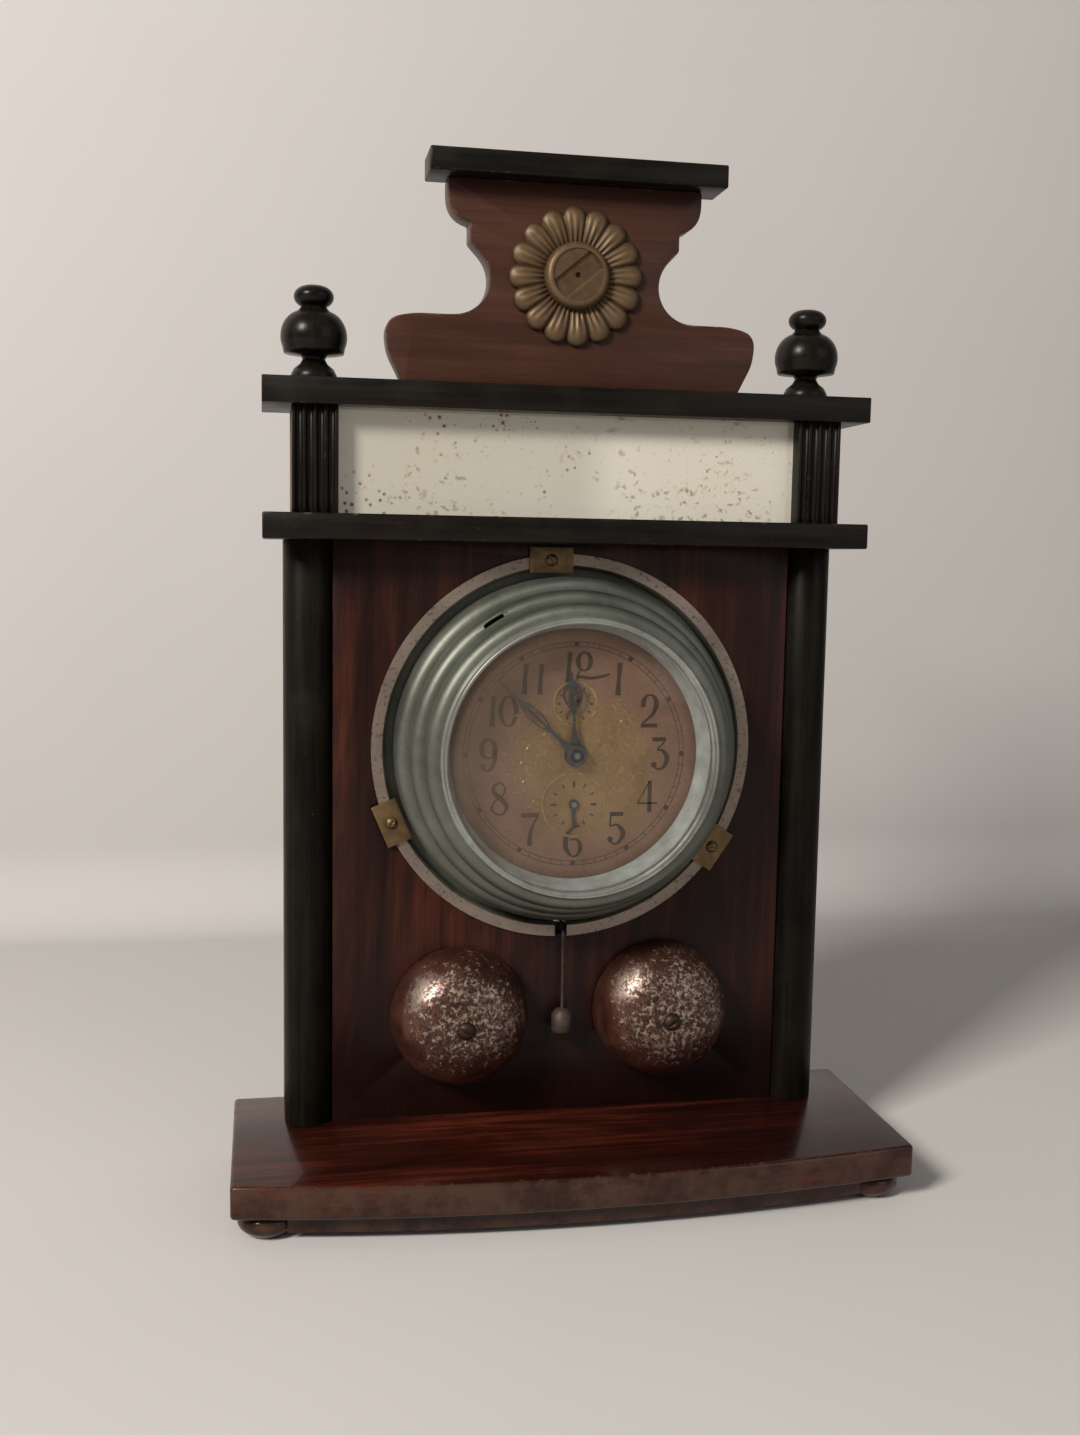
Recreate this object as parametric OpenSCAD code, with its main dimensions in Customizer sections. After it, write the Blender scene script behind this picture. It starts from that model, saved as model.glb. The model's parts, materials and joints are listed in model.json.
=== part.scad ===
// Table clock with alarm: a veneered case with ebonised trim, a mirror frieze, a scroll-cut
// crest, a spun drum that holds the movement and dial, and two gongs struck by a wire hammer.
// Millimetres. X runs to the right seen from the front, Y runs to the back and Z runs up.
// The origin lies on the surface that the clock stands on, under the middle of the base.

/* [Base] */
// How far the base stands out beyond each side of the body
base_overhang = 19; // [12:0.5:30]
// Depth of the base plate at its ends
base_d = 83; // [78:1:100]
// How far the front edge of the base plate bows out in the middle
base_bow = 10; // [4:1:16]
// Thickness of the base plate
base_t = 12; // [8:0.5:18]
// Thickness of the frame under the base plate
moulding_t = 6.8; // [4:0.2:8]
// Set-back of the frame from the edge of the base plate
moulding_inset = 5; // [3:0.5:8]
// Height of the bun feet
foot_h = 9.5; // [8.5:0.5:16]
// Diameter of the bun feet
foot_d = 21; // [16:1:26]

/* [Body] */
// Width of the body across the corner columns
body_w = 208; // [200:1:220]
// Height of the body from the base to the lower cornice
body_h = 217.4; // [216:0.2:240]
// Depth of the body from the face of the panel to the open back
body_d = 26; // [25:0.5:28]
// Distance from the open back to the back edge of the base
back_margin = 2.6; // [0.6:0.5:5]
// Thickness of the front panel
panel_t = 8; // [6:0.5:10]
// Thickness of the side boards
side_t = 9; // [6:0.5:12]
// Width of a corner column
column_w = 17.6; // [14:0.2:20]
// How far the middle of a column's round lies behind the face of the panel
column_sink = 4; // [2:0.5:6]

/* [Cornices and frieze] */
// How far both cornice boards stand out beyond each side of the body
cornice_side = 7.5; // [6:0.5:14]
// Thickness of both cornice boards
cornice_t = 9.2; // [7:0.2:12]
// How far the lower cornice stands out from the face of the panel
lower_overhang = 17; // [14:0.5:20]
// How far the upper cornice stands out from the face of the panel
upper_overhang = 15; // [13.5:0.5:18]
// Height of the frieze between the cornices
frieze_h = 37.6; // [32:0.2:48]
// Set-back of the frieze from each side of the body
frieze_inset = 2.8; // [1:0.2:5]
// Width of a fluted pilaster
pilaster_w = 16.2; // [14:0.2:20]
// How far a pilaster stands out from the face of the panel
pilaster_overhang = 12; // [10:0.5:13]
// Distance from the face of a pilaster back to the mirror
mirror_recess = 6.6; // [4:0.2:8]
// Thickness of the mirror
mirror_t = 3; // [2:0.5:4]
// Thickness of the board behind the mirror
mirror_board_t = 6; // [4:0.5:8]
// Number of flutes on a pilaster
flutes = 4; // [3:1:5]
// Width of one flute
flute_w = 2.6; // [1.6:0.2:3]

/* [Crest] */
// Height of the crest board
crest_h = 72; // [70:0.5:76]
// Thickness of the crest board
crest_t = 10.5; // [8:0.5:13]
// How far the crest board stands out from the face of the panel
crest_overhang = 6.3; // [4:0.1:9]
// Width of the crest board where it stands on the cornice
crest_foot_w = 124; // [118:1:130]
// Width of the crest board across its lower ears
crest_ear_w = 137; // [134:1:142]
// Width of the crest board at its waist
crest_waist_w = 62; // [58:1:66]
// Width of the crest board at its small upper step
crest_step_w = 77; // [74:1:80]
// Width of the crest board under its cap
crest_top_w = 93; // [90:1:96]
// Width of the cap board
cap_w = 107.6; // [104:0.2:120]
// Depth of the cap board
cap_d = 19.2; // [14:0.2:20]
// Thickness of the cap board
cap_t = 8; // [6:0.5:10]

/* [Rosette] */
// Diameter over the petals
rosette_d = 49.6; // [46:0.2:54]
// Number of petals
petals = 18; // [14:1:20]
// Height of the rosette's middle above the foot of the crest board
rosette_height = 39.6; // [36:0.2:42]
// Diameter of the boss
boss_d = 24.4; // [20:0.2:26]
// Thickness of the petals
petal_t = 3.6; // [2.6:0.2:5]
// How far the boss stands out from the crest board
boss_t = 6.6; // [5.6:0.2:8]

/* [Finials] */
// Height of a finial above the cornice
finial_h = 34; // [30:0.5:40]
// Largest diameter of a finial
finial_d = 23.8; // [20:0.2:26]
// Distance of each finial's axis in from the side of the body
finial_inset = 11; // [8:0.5:14]
// Diameter of the peg that seats a finial
peg_d = 6; // [4:0.5:8]

/* [Drum] */
// Diameter of the drum behind the panel
drum_d = 127.4; // [124:0.2:129]
// Width of the groove between the drum and its flange
groove_w = 4.7; // [4.2:0.1:5.4]
// Width of the flange outside the groove
flange_w = 4.1; // [3.8:0.1:5.4]
// Gap between the flange and the lower cornice
flange_gap = 3.7; // [3.4:0.1:8]
// Distance from the face of the panel to the lip
drum_depth = 33.3; // [30:0.1:36]
// Number of rounded steps on the front of the drum
drum_steps = 3; // [2:1:4]
// Distance from the face of the panel to where the first step begins
drum_rim = 9.4; // [8:0.2:11]
// Thickness of the spun sheet
sheet_t = 1.2; // [0.8:0.1:1.4]
// Width of the slot through which the hammer wire leaves
hammer_slot_w = 4.6; // [4.4:0.2:7]

/* [Dial and glass] */
// Visible diameter of the dial
dial_d = 91.8; // [88:0.2:93]
// Distance from the edge of the visible dial out to the lip of the drum
dial_rim = 5; // [4.8:0.1:5.4]
// Thickness of the dial
dial_t = 0.6; // [0.4:0.1:0.8]
// Distance from the lip back to the face of the dial
dial_recess = 13; // [11:0.1:14]
// Rise of the domed glass
glass_rise = 3.6; // [2.4:0.2:5]
// Thickness of the glass
glass_t = 1.4; // [1:0.1:1.6]
// Distance from the middle of the dial to the middle of each small dial
subdial_pitch = 18.5; // [18:0.1:20]
// Diameter of the small alarm dial
alarm_dial_d = 22.4; // [20:0.2:24]

/* [Clips] */
// Length of a retaining clip along the flange
clip_l = 16.4; // [12:0.2:20]
// Width of a retaining clip across the flange
clip_w = 9.6; // [8:0.2:9.8]
// Thickness of a retaining clip
clip_t = 1; // [0.8:0.1:1.6]

/* [Gongs] */
// Diameter of a gong
gong_d = 52; // [48:0.5:54]
// Depth of a gong
gong_depth = 21; // [18:0.5:23]
// Wall of a gong
gong_t = 1.6; // [1.2:0.1:2]
// Distance between the axes of the gongs
gong_spacing = 77.8; // [77:0.2:82]
// Distance from the middle of the dial down to the gongs' axes
gong_drop = 101.3; // [100:0.1:108]
// Gap between a gong's rim and the panel
gong_gap = 1.5; // [1:0.1:3]

/* [Hammer] */
// Distance from the wall of the drum up to the hammer's pivot
hammer_pivot_gap = 2.3; // [2.2:0.1:3]
// Distance from the gongs' axes down to the middle of the hammer's head
hammer_head_drop = 2.6; // [0:0.2:5]
// Diameter of the hammer's wire
wire_d = 1.2; // [1:0.1:1.4]
// Diameter of the hammer's head
head_d = 8; // [6:0.2:8.4]
// Height of the hammer's head
head_h = 9.7; // [8:0.1:11]

/* [Hands] */
// Length of the minute hand from its axis
minute_hand_l = 40.6; // [36:0.2:42]
// Length of the hour hand from its axis
hour_hand_l = 30.6; // [28:0.2:32]
// Length of the seconds hand from its axis
seconds_hand_l = 6; // [5:0.2:7]
// Length of the alarm hand from its axis
alarm_hand_l = 9; // [7:0.2:10]
// Thickness of the sheet that the hands are cut from
hand_t = 0.4; // [0.3:0.05:0.5]
// Hour that the hands show, with its fraction
shown_time = 11.87; // [0:0.01:11.99]

/* [Movement] */
// Diameter of the movement's plates
plate_d = 100; // [98:1:104]
// Thickness of the movement's plates
plate_t = 1.5; // [1.2:0.1:1.8]
// Distance between the plates
plate_gap = 18.5; // [18.3:0.1:18.8]
// Running clearance between a shaft and its hole
run_gap = 0.05; // [0.02:0.01:0.1]
// Size of the teeth of the time train, as pitch diameter over number of teeth
tooth_size = 0.5; // [0.49:0.005:0.51]

/* [Hidden] */
$fn = 96;
eps = 0.01;

// Widths that follow the body
base_w = body_w + 2 * base_overhang;
cornice_w = body_w + 2 * cornice_side;
frieze_w = body_w - 2 * frieze_inset;
finial_spacing = body_w - 2 * finial_inset;

// Levels above the standing surface
base_top = foot_h + base_t;
lower_cornice_z = base_top + body_h;
frieze_z = lower_cornice_z + cornice_t;
upper_cornice_z = frieze_z + frieze_h;
crest_z = upper_cornice_z + cornice_t;
cap_z = crest_z + crest_h;
flange_in = drum_d / 2 + groove_w;
flange_r = flange_in + flange_w;
dial_z = lower_cornice_z - flange_gap - flange_r;
gong_z = dial_z - gong_drop;

// Depths: the base is centred on the origin
base_back = (base_d + base_bow) / 2;
base_front = base_back - base_d;
body_back = base_back - back_margin;
panel_y = body_back - body_d;
panel_back = panel_y + panel_t;
pilaster_y = panel_y - pilaster_overhang;
mirror_y = pilaster_y + mirror_recess;
mirror_back = mirror_y + mirror_t;
frieze_back = mirror_back + mirror_board_t;
crest_y = panel_y - crest_overhang;
finial_y = (panel_y - upper_overhang + body_back) / 2;

// Drum
lip_d = dial_d + 2 * dial_rim;
flange_t = sheet_t;
drum_r = drum_d / 2;
flange_y = panel_y - flange_t;
groove_back = panel_y + 6;
lip_y = panel_y - drum_depth;
front_r = drum_r + 0.5;
step = (front_r - lip_d / 2) / drum_steps;
step_round = step * 0.8;
step_run = (drum_depth - drum_rim - step_round) / (drum_steps - 1);
slot_y = panel_y - drum_rim - step_run - step_round;
drum_back = panel_y + 12.6;
cover_t = 1;
panel_hole_r = flange_in + 0.3;
pivot_drop = drum_r - sheet_t - hammer_pivot_gap;
slot_drop = pivot_drop + 0.9;
head_drop = gong_drop + hammer_head_drop;

// Dial
dial_y = lip_y + dial_recess;
dial_back = dial_y + dial_t;
bevel_out_r = lip_d / 2 + step - sheet_t - 0.2;
bevel_in_r = dial_d / 2;
glass_r = lip_d / 2 - 2.7;

// Movement levels along Y
plate_front = dial_back + 5.8;
work_front = plate_front + plate_t;
work_back = work_front + plate_gap;
plate_back = work_back + plate_t;

// Tooth counts: each wheel drives the pinion after it
great_teeth = 72;
centre_leaves = 12;
centre_teeth = 64;
third_leaves = 8;
third_teeth = 60;
seconds_leaves = 8;
seconds_teeth = 48;
escape_leaves = 6;
escape_teeth = 15;
cannon_leaves = 12;
minute_teeth = 36;
minute_leaves = 10;
hour_teeth = 40;
alarm_great_teeth = 60;
alarm_leaves = 10;
alarm_escape_teeth = 16;

// Motion work: the hour wheel also drives the alarm wheel, one to one
hour_size = subdial_pitch / hour_teeth;
motion_pitch = hour_size * (hour_teeth + minute_leaves) / 2;
minute_size = motion_pitch * 2 / (cannon_leaves + minute_teeth);

// Arbor places, as [x, height above the dial's middle]
function pitch(teeth, leaves) = tooth_size * (teeth + leaves) / 2;
function polar(r, a) = [r * cos(a), r * sin(a)];
great_angle = 205;
great_at = polar(pitch(great_teeth, centre_leaves), great_angle);
seconds_at = [0, subdial_pitch];
alarm_at = [0, -subdial_pitch];
third_reach = pitch(centre_teeth, third_leaves);
third_link = pitch(third_teeth, seconds_leaves);
third_rise = (third_reach ^ 2 - third_link ^ 2 + subdial_pitch ^ 2) / (2 * subdial_pitch);
third_at = [sqrt(third_reach ^ 2 - third_rise ^ 2), third_rise];
escape_at = seconds_at + polar(pitch(seconds_teeth, escape_leaves), 140);
pallet_at = escape_at + polar(10.6, 150);
balance_at = pallet_at + polar(11.6, 222);
minute_at = [-motion_pitch, 0];
alarm_great_at = [23, -23.5];
alarm_escape_at = alarm_great_at + polar(pitch(alarm_great_teeth, alarm_leaves), 212);
function heading(from, to) = atan2(to[1] - from[1], to[0] - from[0]);

// Levels of the wheels and springs between the plates, and of the motion work before them
seconds_level = work_front + 0.8;
third_level = work_front + 2.4;
centre_level = work_front + 4.2;
spring_front = centre_level + 1.7;
spring_share = 0.37;
escape_level = work_front + 8;
great_level = work_back - 3;
alarm_level = work_back - 2.6;
cannon_level = plate_front - 2;
hour_level = plate_front - 3.6;
hour_hand_y = dial_y - 2.4;
minute_hand_y = hour_hand_y - 1.8;

// Pillars, keys and small radii of the movement
pillar_angles = [55, 125, 180, 250, 350];
pillar_r = 2.6;
post_screw_r = 1.2;
pivot_r = 0.6;
key_r = 2.2;
key_back = body_back - 1;
knob_front = drum_back + cover_t + 0.4;

// Hands
minute_turn = -360 * (shown_time - floor(shown_time));
hour_turn = -30 * shown_time;
arbor_r = 1;
pipe_r = 1.9;
hub_r = 3.8;

// Clips and their screws
clip_angles = [95, 203, 326.5];
clip_turns = [90, 203, 326];
clip_r = flange_r - 2.05;
clip_screw_r = 1.1;

// Gongs
gong_rim = panel_y - gong_gap;
gong_top = gong_rim - gong_depth;
post_r = 4;
gong_screw_r = 1.6;
gong_screw_l = gong_depth * 0.55;
nut_t = 3.4;

// Hammer
hammer_y = panel_y + 4;
hammer_hang_y = panel_y - 6.4;
hammer_bush_r = 1.9;
hammer_pin_r = 1;
bracket_screw_drop = 44;

// Points of an arc about [x, y]
function arc(x, y, r, from, to, n) =
    [for (i = [0 : n]) let (a = from + (to - from) * i / n) [x + r * cos(a), y + r * sin(a)]];

// A flat outline in the front view, as a slab between two depths
module slab(x, z, front, back) {
    translate([x, back, z]) rotate([90, 0, 0]) linear_extrude(back - front) children();
}

// A body turned about a line along Y; the profile holds [radius, depth] pairs
module turned(x, z, profile) {
    translate([x, 0, z]) rotate([90, 0, 0]) rotate_extrude() polygon([for (p = profile) [p[0], -p[1]]]);
}

// A round rod along Y
module shaft(at, r, front, back) {
    translate([at[0], back, dial_z + at[1]]) rotate([90, 0, 0]) cylinder(r = r, h = back - front);
}

// A straight wire between two points of the plane X = 0, given as [depth, height]
module wire(a, b, r) {
    run = b - a;
    translate([0, a[0], a[1]]) rotate([-atan2(run[0], run[1]), 0, 0]) translate([0, 0, -r / 2])
        cylinder(r = r, h = norm(run) + r, $fn = 32);
}

// A toothed outline; one tooth points along the given angle
module teeth_2d(teeth, size, angle, leaf) {
    half = 180 / teeth;
    r = teeth * size / 2;
    tip = r + (leaf ? 0.55 : 0.75) * size;
    root = r - 1.15 * size;
    polygon([for (i = [0 : teeth - 1]) let (a = angle + 2 * half * i)
        each [polar(root, a - half * 0.62), polar(r, a - half * 0.36), polar(tip, a - half * 0.16),
              polar(tip, a + half * 0.16), polar(r, a + half * 0.36), polar(root, a + half * 0.62)]]);
}

// A crossed wheel with its teeth, a rim, spokes and a hub
module wheel(at, teeth, size, angle, front, thick, bore, spokes = 4) {
    r = teeth * size / 2;
    rim = r - 2.6 * size;
    slab(at[0], dial_z + at[1], front, front + thick) difference() {
        teeth_2d(teeth, size, angle, false);
        difference() {
            circle(r = rim);
            circle(r = max(2.2, bore + 1.2));
            for (i = [0 : spokes - 1]) rotate(i * 360 / spokes + angle) translate([0, -0.6]) square([rim, 1.2]);
        }
        if (bore > 0) circle(r = bore);
    }
}

// A pinion: a short length of leaves
module pinion(at, leaves, size, angle, front, back) {
    slab(at[0], dial_z + at[1], front, back) teeth_2d(leaves, size, angle, true);
}

// Case

module base_plate() {
    bow_r = (base_w ^ 2 / 4 + base_bow ^ 2) / (2 * base_bow);
    color("saddlebrown") translate([0, 0, foot_h]) linear_extrude(base_t) intersection() {
        translate([-base_w / 2, -base_back]) square([base_w, 2 * base_back]);
        translate([0, bow_r - base_back]) circle(r = bow_r, $fn = 720);
    }
}

module foot_places() {
    x = base_w / 2 - foot_d / 2 - 2;
    for (sx = [-1, 1])
        for (y = [base_front + foot_d / 2 + 1, base_back - foot_d / 2 - 1])
            translate([sx * x, y, 0]) children();
}

module base_moulding() {
    w = base_w - 2 * moulding_inset;
    bow_r = (w ^ 2 / 4 + base_bow ^ 2) / (2 * base_bow);
    front = -base_back + moulding_inset;
    color("saddlebrown") translate([0, 0, foot_h - moulding_t]) difference() {
        linear_extrude(moulding_t) difference() {
            intersection() {
                translate([-w / 2, front]) square([w, 2 * base_back - 2 * moulding_inset]);
                translate([0, front + bow_r]) circle(r = bow_r, $fn = 720);
            }
            translate([-w / 2 + 14, front + base_bow + 14])
                square([w - 28, 2 * base_back - 2 * moulding_inset - base_bow - 28]);
        }
        foot_places() translate([0, 0, -1]) cylinder(d = foot_d + 0.6, h = moulding_t + 2);
    }
}

module bun_feet() {
    r = foot_d / 2;
    profile = concat([[0, 0], [r * 0.62, 0]],
        arc(r * 0.62, foot_h * 0.55, r * 0.38, -60, 60, 10), [[r * 0.7, foot_h], [0, foot_h]]);
    color("sienna") foot_places() rotate_extrude() polygon(profile);
}

module front_panel() {
    w = body_w - 2 * column_w;
    color("brown") difference() {
        translate([-w / 2, panel_y, base_top]) cube([w, panel_t, body_h]);
        slab(0, dial_z, panel_y - 1, panel_back + 1) circle(r = panel_hole_r);
        slab(0, dial_z, panel_y - 1, hammer_y + 1.6) translate([-hammer_slot_w / 2 - 1.6, -flange_r + 0.6])
            square([hammer_slot_w + 3.2, flange_r - slot_drop]);
        for (a = clip_angles) shaft(clip_centre(a), clip_screw_r + run_gap, panel_y - 1, panel_y + 6);
        for (sx = [-1, 1]) translate([sx * gong_spacing / 2, panel_back + 1, gong_z]) rotate([90, 0, 0])
            cylinder(r = post_r * 0.6 + run_gap, h = panel_t + 2);
    }
}

module side_board(sx) {
    color("sienna") translate([sx * (body_w / 2 - side_t / 2) - side_t / 2, panel_back, base_top])
        cube([side_t, body_back - panel_back, body_h]);
}

module column(sx) {
    x = sx * (body_w / 2 - column_w / 2);
    back = panel_t - column_sink;
    color("black") translate([x, panel_y + column_sink, base_top]) linear_extrude(body_h) union() {
        difference() {
            circle(d = column_w);
            translate([-column_w, 0]) square(2 * column_w);
        }
        translate([-column_w / 2, -eps]) square([column_w, back + eps]);
    }
}

module cornice(z, overhang) {
    color("dimgray") translate([-cornice_w / 2, panel_y - overhang, z])
        cube([cornice_w, body_back - panel_y + overhang, cornice_t]);
}

module lower_cornice() {
    cornice(lower_cornice_z, lower_overhang);
}

module upper_cornice() {
    difference() {
        cornice(upper_cornice_z, upper_overhang);
        for (sx = [-1, 1]) translate([sx * finial_spacing / 2, finial_y, upper_cornice_z + 2])
            cylinder(d = peg_d + 2 * run_gap, h = cornice_t);
    }
}

module pilasters() {
    x = frieze_w / 2 - pilaster_w / 2;
    gap = (pilaster_w - flutes * flute_w) / (flutes + 1);
    color("black") for (sx = [-1, 1]) translate([sx * x, pilaster_y, frieze_z]) difference() {
        translate([-pilaster_w / 2, 0, 0]) cube([pilaster_w, frieze_back - pilaster_y, frieze_h]);
        for (i = [0 : flutes - 1])
            translate([-pilaster_w / 2 + gap + flute_w / 2 + i * (gap + flute_w), 0, -1])
                cylinder(d = flute_w, h = frieze_h + 2, $fn = 32);
    }
}

module frieze_sides() {
    color("sienna") for (sx = [-1, 1])
        translate([sx * (frieze_w / 2 - side_t / 2) - side_t / 2, frieze_back, frieze_z])
            cube([side_t, body_back - frieze_back, frieze_h]);
}

module mirror_pane() {
    w = frieze_w - 2 * pilaster_w;
    color("silver") translate([-w / 2, mirror_y, frieze_z]) cube([w, mirror_t, frieze_h]);
}

module mirror_board() {
    w = frieze_w - 2 * pilaster_w;
    color("tan") translate([-w / 2, mirror_back, frieze_z]) cube([w, mirror_board_t, frieze_h]);
}

// Half of the crest's outline, from the foot up to the cap
function crest_half() =
    let (foot = crest_foot_w / 2, ear = crest_ear_w / 2, waist = crest_waist_w / 2)
    let (notch = crest_step_w / 2, top = crest_top_w / 2, ear_z = crest_h * 0.342, step_z = crest_h * 0.703)
    let (scoop = (step_z - ear_z) / 2, ovolo = top - notch)
    concat([[foot, 0], [foot + (ear - foot) * 0.42, 5.5], [foot + (ear - foot) * 0.86, 11]],
        arc(ear - 6, ear_z - 6.6, 6, -20, 60, 8),
        arc(ear - 11.5, ear_z - 12.6, 12.6, 72, 90, 3),
        [[waist + scoop + 4, ear_z]],
        arc(waist + scoop, ear_z + scoop, scoop, 268, 124, 18),
        [[notch, step_z], [notch, step_z + 6.2]],
        arc(notch - 0.8, step_z + 6.2 + ovolo + 0.8, ovolo + 0.8, 280, 360, 10),
        [[top, crest_h]]);

module crest_board() {
    half = crest_half();
    n = len(half);
    color("brown") slab(0, crest_z, crest_y, crest_y + crest_t)
        polygon(concat(half, [for (i = [n - 1 : -1 : 0]) [-half[i][0], half[i][1]]]));
}

module crest_cap() {
    color("black") translate([-cap_w / 2, crest_y + crest_t - cap_d, cap_z]) cube([cap_w, cap_d, cap_t]);
}

module petal_2d() {
    r = rosette_d / 2;
    tip = r * sin(180 / petals) * 0.97;
    translate([r - tip, 0]) circle(r = tip, $fn = 32);
    polygon([[0, 0], [r - tip, -tip], [r - tip, tip]]);
}

module rosette() {
    z = crest_z + rosette_height;
    bar = boss_d * 0.3;
    recess = boss_d * 0.39;
    groove = 0.5;
    color("darkgoldenrod") difference() {
        union() {
            difference() {
                slab(0, z, crest_y - petal_t, crest_y) for (i = [0 : petals - 1])
                    rotate(i * 360 / petals) petal_2d();
                slab(0, z, crest_y - petal_t - 1, crest_y - petal_t * 0.6) for (i = [0 : petals - 1])
                    rotate((i + 0.5) * 360 / petals) translate([boss_d / 2 - 1, -groove / 2])
                        square([rosette_d, groove]);
            }
            turned(0, z, [[0, crest_y - boss_t], [boss_d / 2 - 1.6, crest_y - boss_t],
                [boss_d / 2 - 0.4, crest_y - boss_t + 0.6], [boss_d / 2, crest_y - boss_t + 2],
                [boss_d / 2, crest_y], [0, crest_y]]);
        }
        slab(0, z, crest_y - boss_t - 1, crest_y - boss_t + 2.2) difference() {
            circle(r = recess);
            rotate(43) translate([-recess, -bar / 2]) square([2 * recess, bar]);
        }
        slab(0, z, crest_y - boss_t - 1, crest_y - boss_t + 1) circle(r = recess);
        slab(0, z, crest_y - boss_t, crest_y - 1) circle(r = 0.9);
    }
}

module finials() {
    r = finial_d / 2;
    knob = r * 0.6;
    h = finial_h;
    profile = concat([[0, 0], [r * 0.68, 0], [r * 0.7, h * 0.07], [r * 0.6, h * 0.14],
            [r * 0.42, h * 0.19], [r * 0.34, h * 0.24], [r * 0.4, h * 0.28], [r * 0.9, h * 0.3]],
        [for (i = [0 : 12]) let (a = -25 + 100 * i / 12)
            [r * 0.35 + r * 0.65 * cos(a), h * 0.47 + h * 0.27 * sin(a) * (a < 0 ? 0.9 : 1)]],
        [[r * 0.44, h * 0.755]],
        [for (i = [0 : 10]) let (a = -62 + 150 * i / 10)
            [knob * 0.3 + knob * 0.7 * cos(a), h * 0.885 + h * 0.115 * sin(a)]],
        [[0, h]]);
    color("black") for (sx = [-1, 1]) translate([sx * finial_spacing / 2, finial_y, crest_z]) union() {
        rotate_extrude() polygon(profile);
        translate([0, 0, 2.5 - cornice_t]) cylinder(d = peg_d, h = cornice_t);
    }
}

// Drum, dial and glass

// Outer line of the stepped front, from the groove to the lip, moved in by a wall
function drum_line(wall) =
    [for (i = [0 : drum_steps - 1])
        let (r = front_r - i * step - wall, y = panel_y - drum_rim - i * step_run + wall)
        each concat(arc(r - step_round, y, step_round, 0, -90, 6), [[r - step, y - step_round]])];

module drum_case() {
    outer = drum_line(0);
    inner = drum_line(sheet_t);
    n = len(inner);
    lip_in = lip_d / 2 - sheet_t;
    color("darkseagreen") difference() {
        union() {
            turned(0, dial_z, concat([[front_r, groove_back]], outer, [[lip_in, lip_y]],
                [for (i = [n - 1 : -1 : 0]) inner[i]], [[front_r - sheet_t, groove_back]]));
            turned(0, dial_z, [[drum_r - sheet_t, groove_back - sheet_t], [flange_in, groove_back - sheet_t],
                [flange_in, groove_back], [drum_r, groove_back], [drum_r, drum_back],
                [drum_r - sheet_t, drum_back]]);
            turned(0, dial_z, [[flange_in - sheet_t, panel_y], [flange_in, flange_y], [flange_r, flange_y],
                [flange_r, panel_y], [flange_in, panel_y], [flange_in, groove_back],
                [flange_in - sheet_t, groove_back]]);
        }
        slab(0, dial_z, flange_y - 1, groove_back + 1) translate([-hammer_slot_w / 2, -flange_r - 1])
            square([hammer_slot_w, flange_r + 1 - slot_drop]);
        for (a = clip_angles) shaft(clip_centre(a), clip_screw_r + 0.1, flange_y - 1, panel_y + 1);
        slab(0, dial_z, slot_y - 1, slot_y + 2.6) for (a = [119 : 126])
            rotate(a) translate([front_r - step * 1.55, 0]) circle(r = 0.7, $fn = 24);
    }
}

module bezel() {
    r = lip_d / 2;
    seat = r - sheet_t - 0.3;
    rebate = glass_r + 0.1;
    rim = glass_r - 0.3;
    color("lightgray") turned(0, dial_z, [[rebate, lip_y + 2.2], [seat, lip_y + 2.2], [seat, lip_y],
        [r - 0.1, lip_y], [r - 0.2, lip_y - 0.9], [r - 0.8, lip_y - 1.5], [r - 1.4, lip_y - 1.6],
        [r - 1.6, lip_y - 1.1], [r - 1.8, lip_y - 1.6], [rim + 0.5, lip_y - 1.4], [rim, lip_y - 0.8],
        [rim, lip_y + 0.8], [rebate, lip_y + 0.8]]);
}

module glass() {
    rim = lip_y + 1;
    dome = (glass_r ^ 2 + glass_rise ^ 2) / (2 * glass_rise);
    half = asin(glass_r / dome);
    function cap(r, n) = [for (i = [0 : n]) let (a = half * i / n)
        [r * sin(a), rim + dome - glass_rise - r * cos(a)]];
    skin = cap(dome, 16);
    back = cap(dome - glass_t, 16);
    color("lightcyan", 0.3) turned(0, dial_z,
        concat([for (p = skin) p], [for (i = [16 : -1 : 0]) back[i]]));
}

module bevel_ring() {
    front = lip_y + 2.4;
    color("gainsboro") turned(0, dial_z, [[bevel_in_r, dial_y], [bevel_in_r, dial_y - 0.5],
        [glass_r - 0.5, front], [glass_r + 0.1, front],
        [bevel_out_r, dial_y - 1.3], [bevel_out_r, dial_y]]);
}

module dial() {
    color("rosybrown") difference() {
        union() {
            turned(0, dial_z, [[0, dial_y], [bevel_out_r, dial_y], [bevel_out_r, dial_back], [0, dial_back]]);
            for (a = [30, 150, 270]) shaft(polar(plate_d / 2 - 4, a), 1.2, dial_back - eps, plate_front);
        }
        shaft([0, 0], pipe_r + 0.9, dial_y - 1, dial_back + 1);
        shaft(seconds_at, 1, dial_y - 1, dial_back + 1);
        shaft(alarm_at, arbor_r + 0.5, dial_y - 1, dial_back + 1);
        shaft(alarm_at, alarm_dial_d / 2, dial_y - 1, dial_y + dial_t / 3);
        shaft(seconds_at, seconds_hand_l + 1.4, dial_y - 1, dial_y + dial_t / 3);
    }
}

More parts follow.
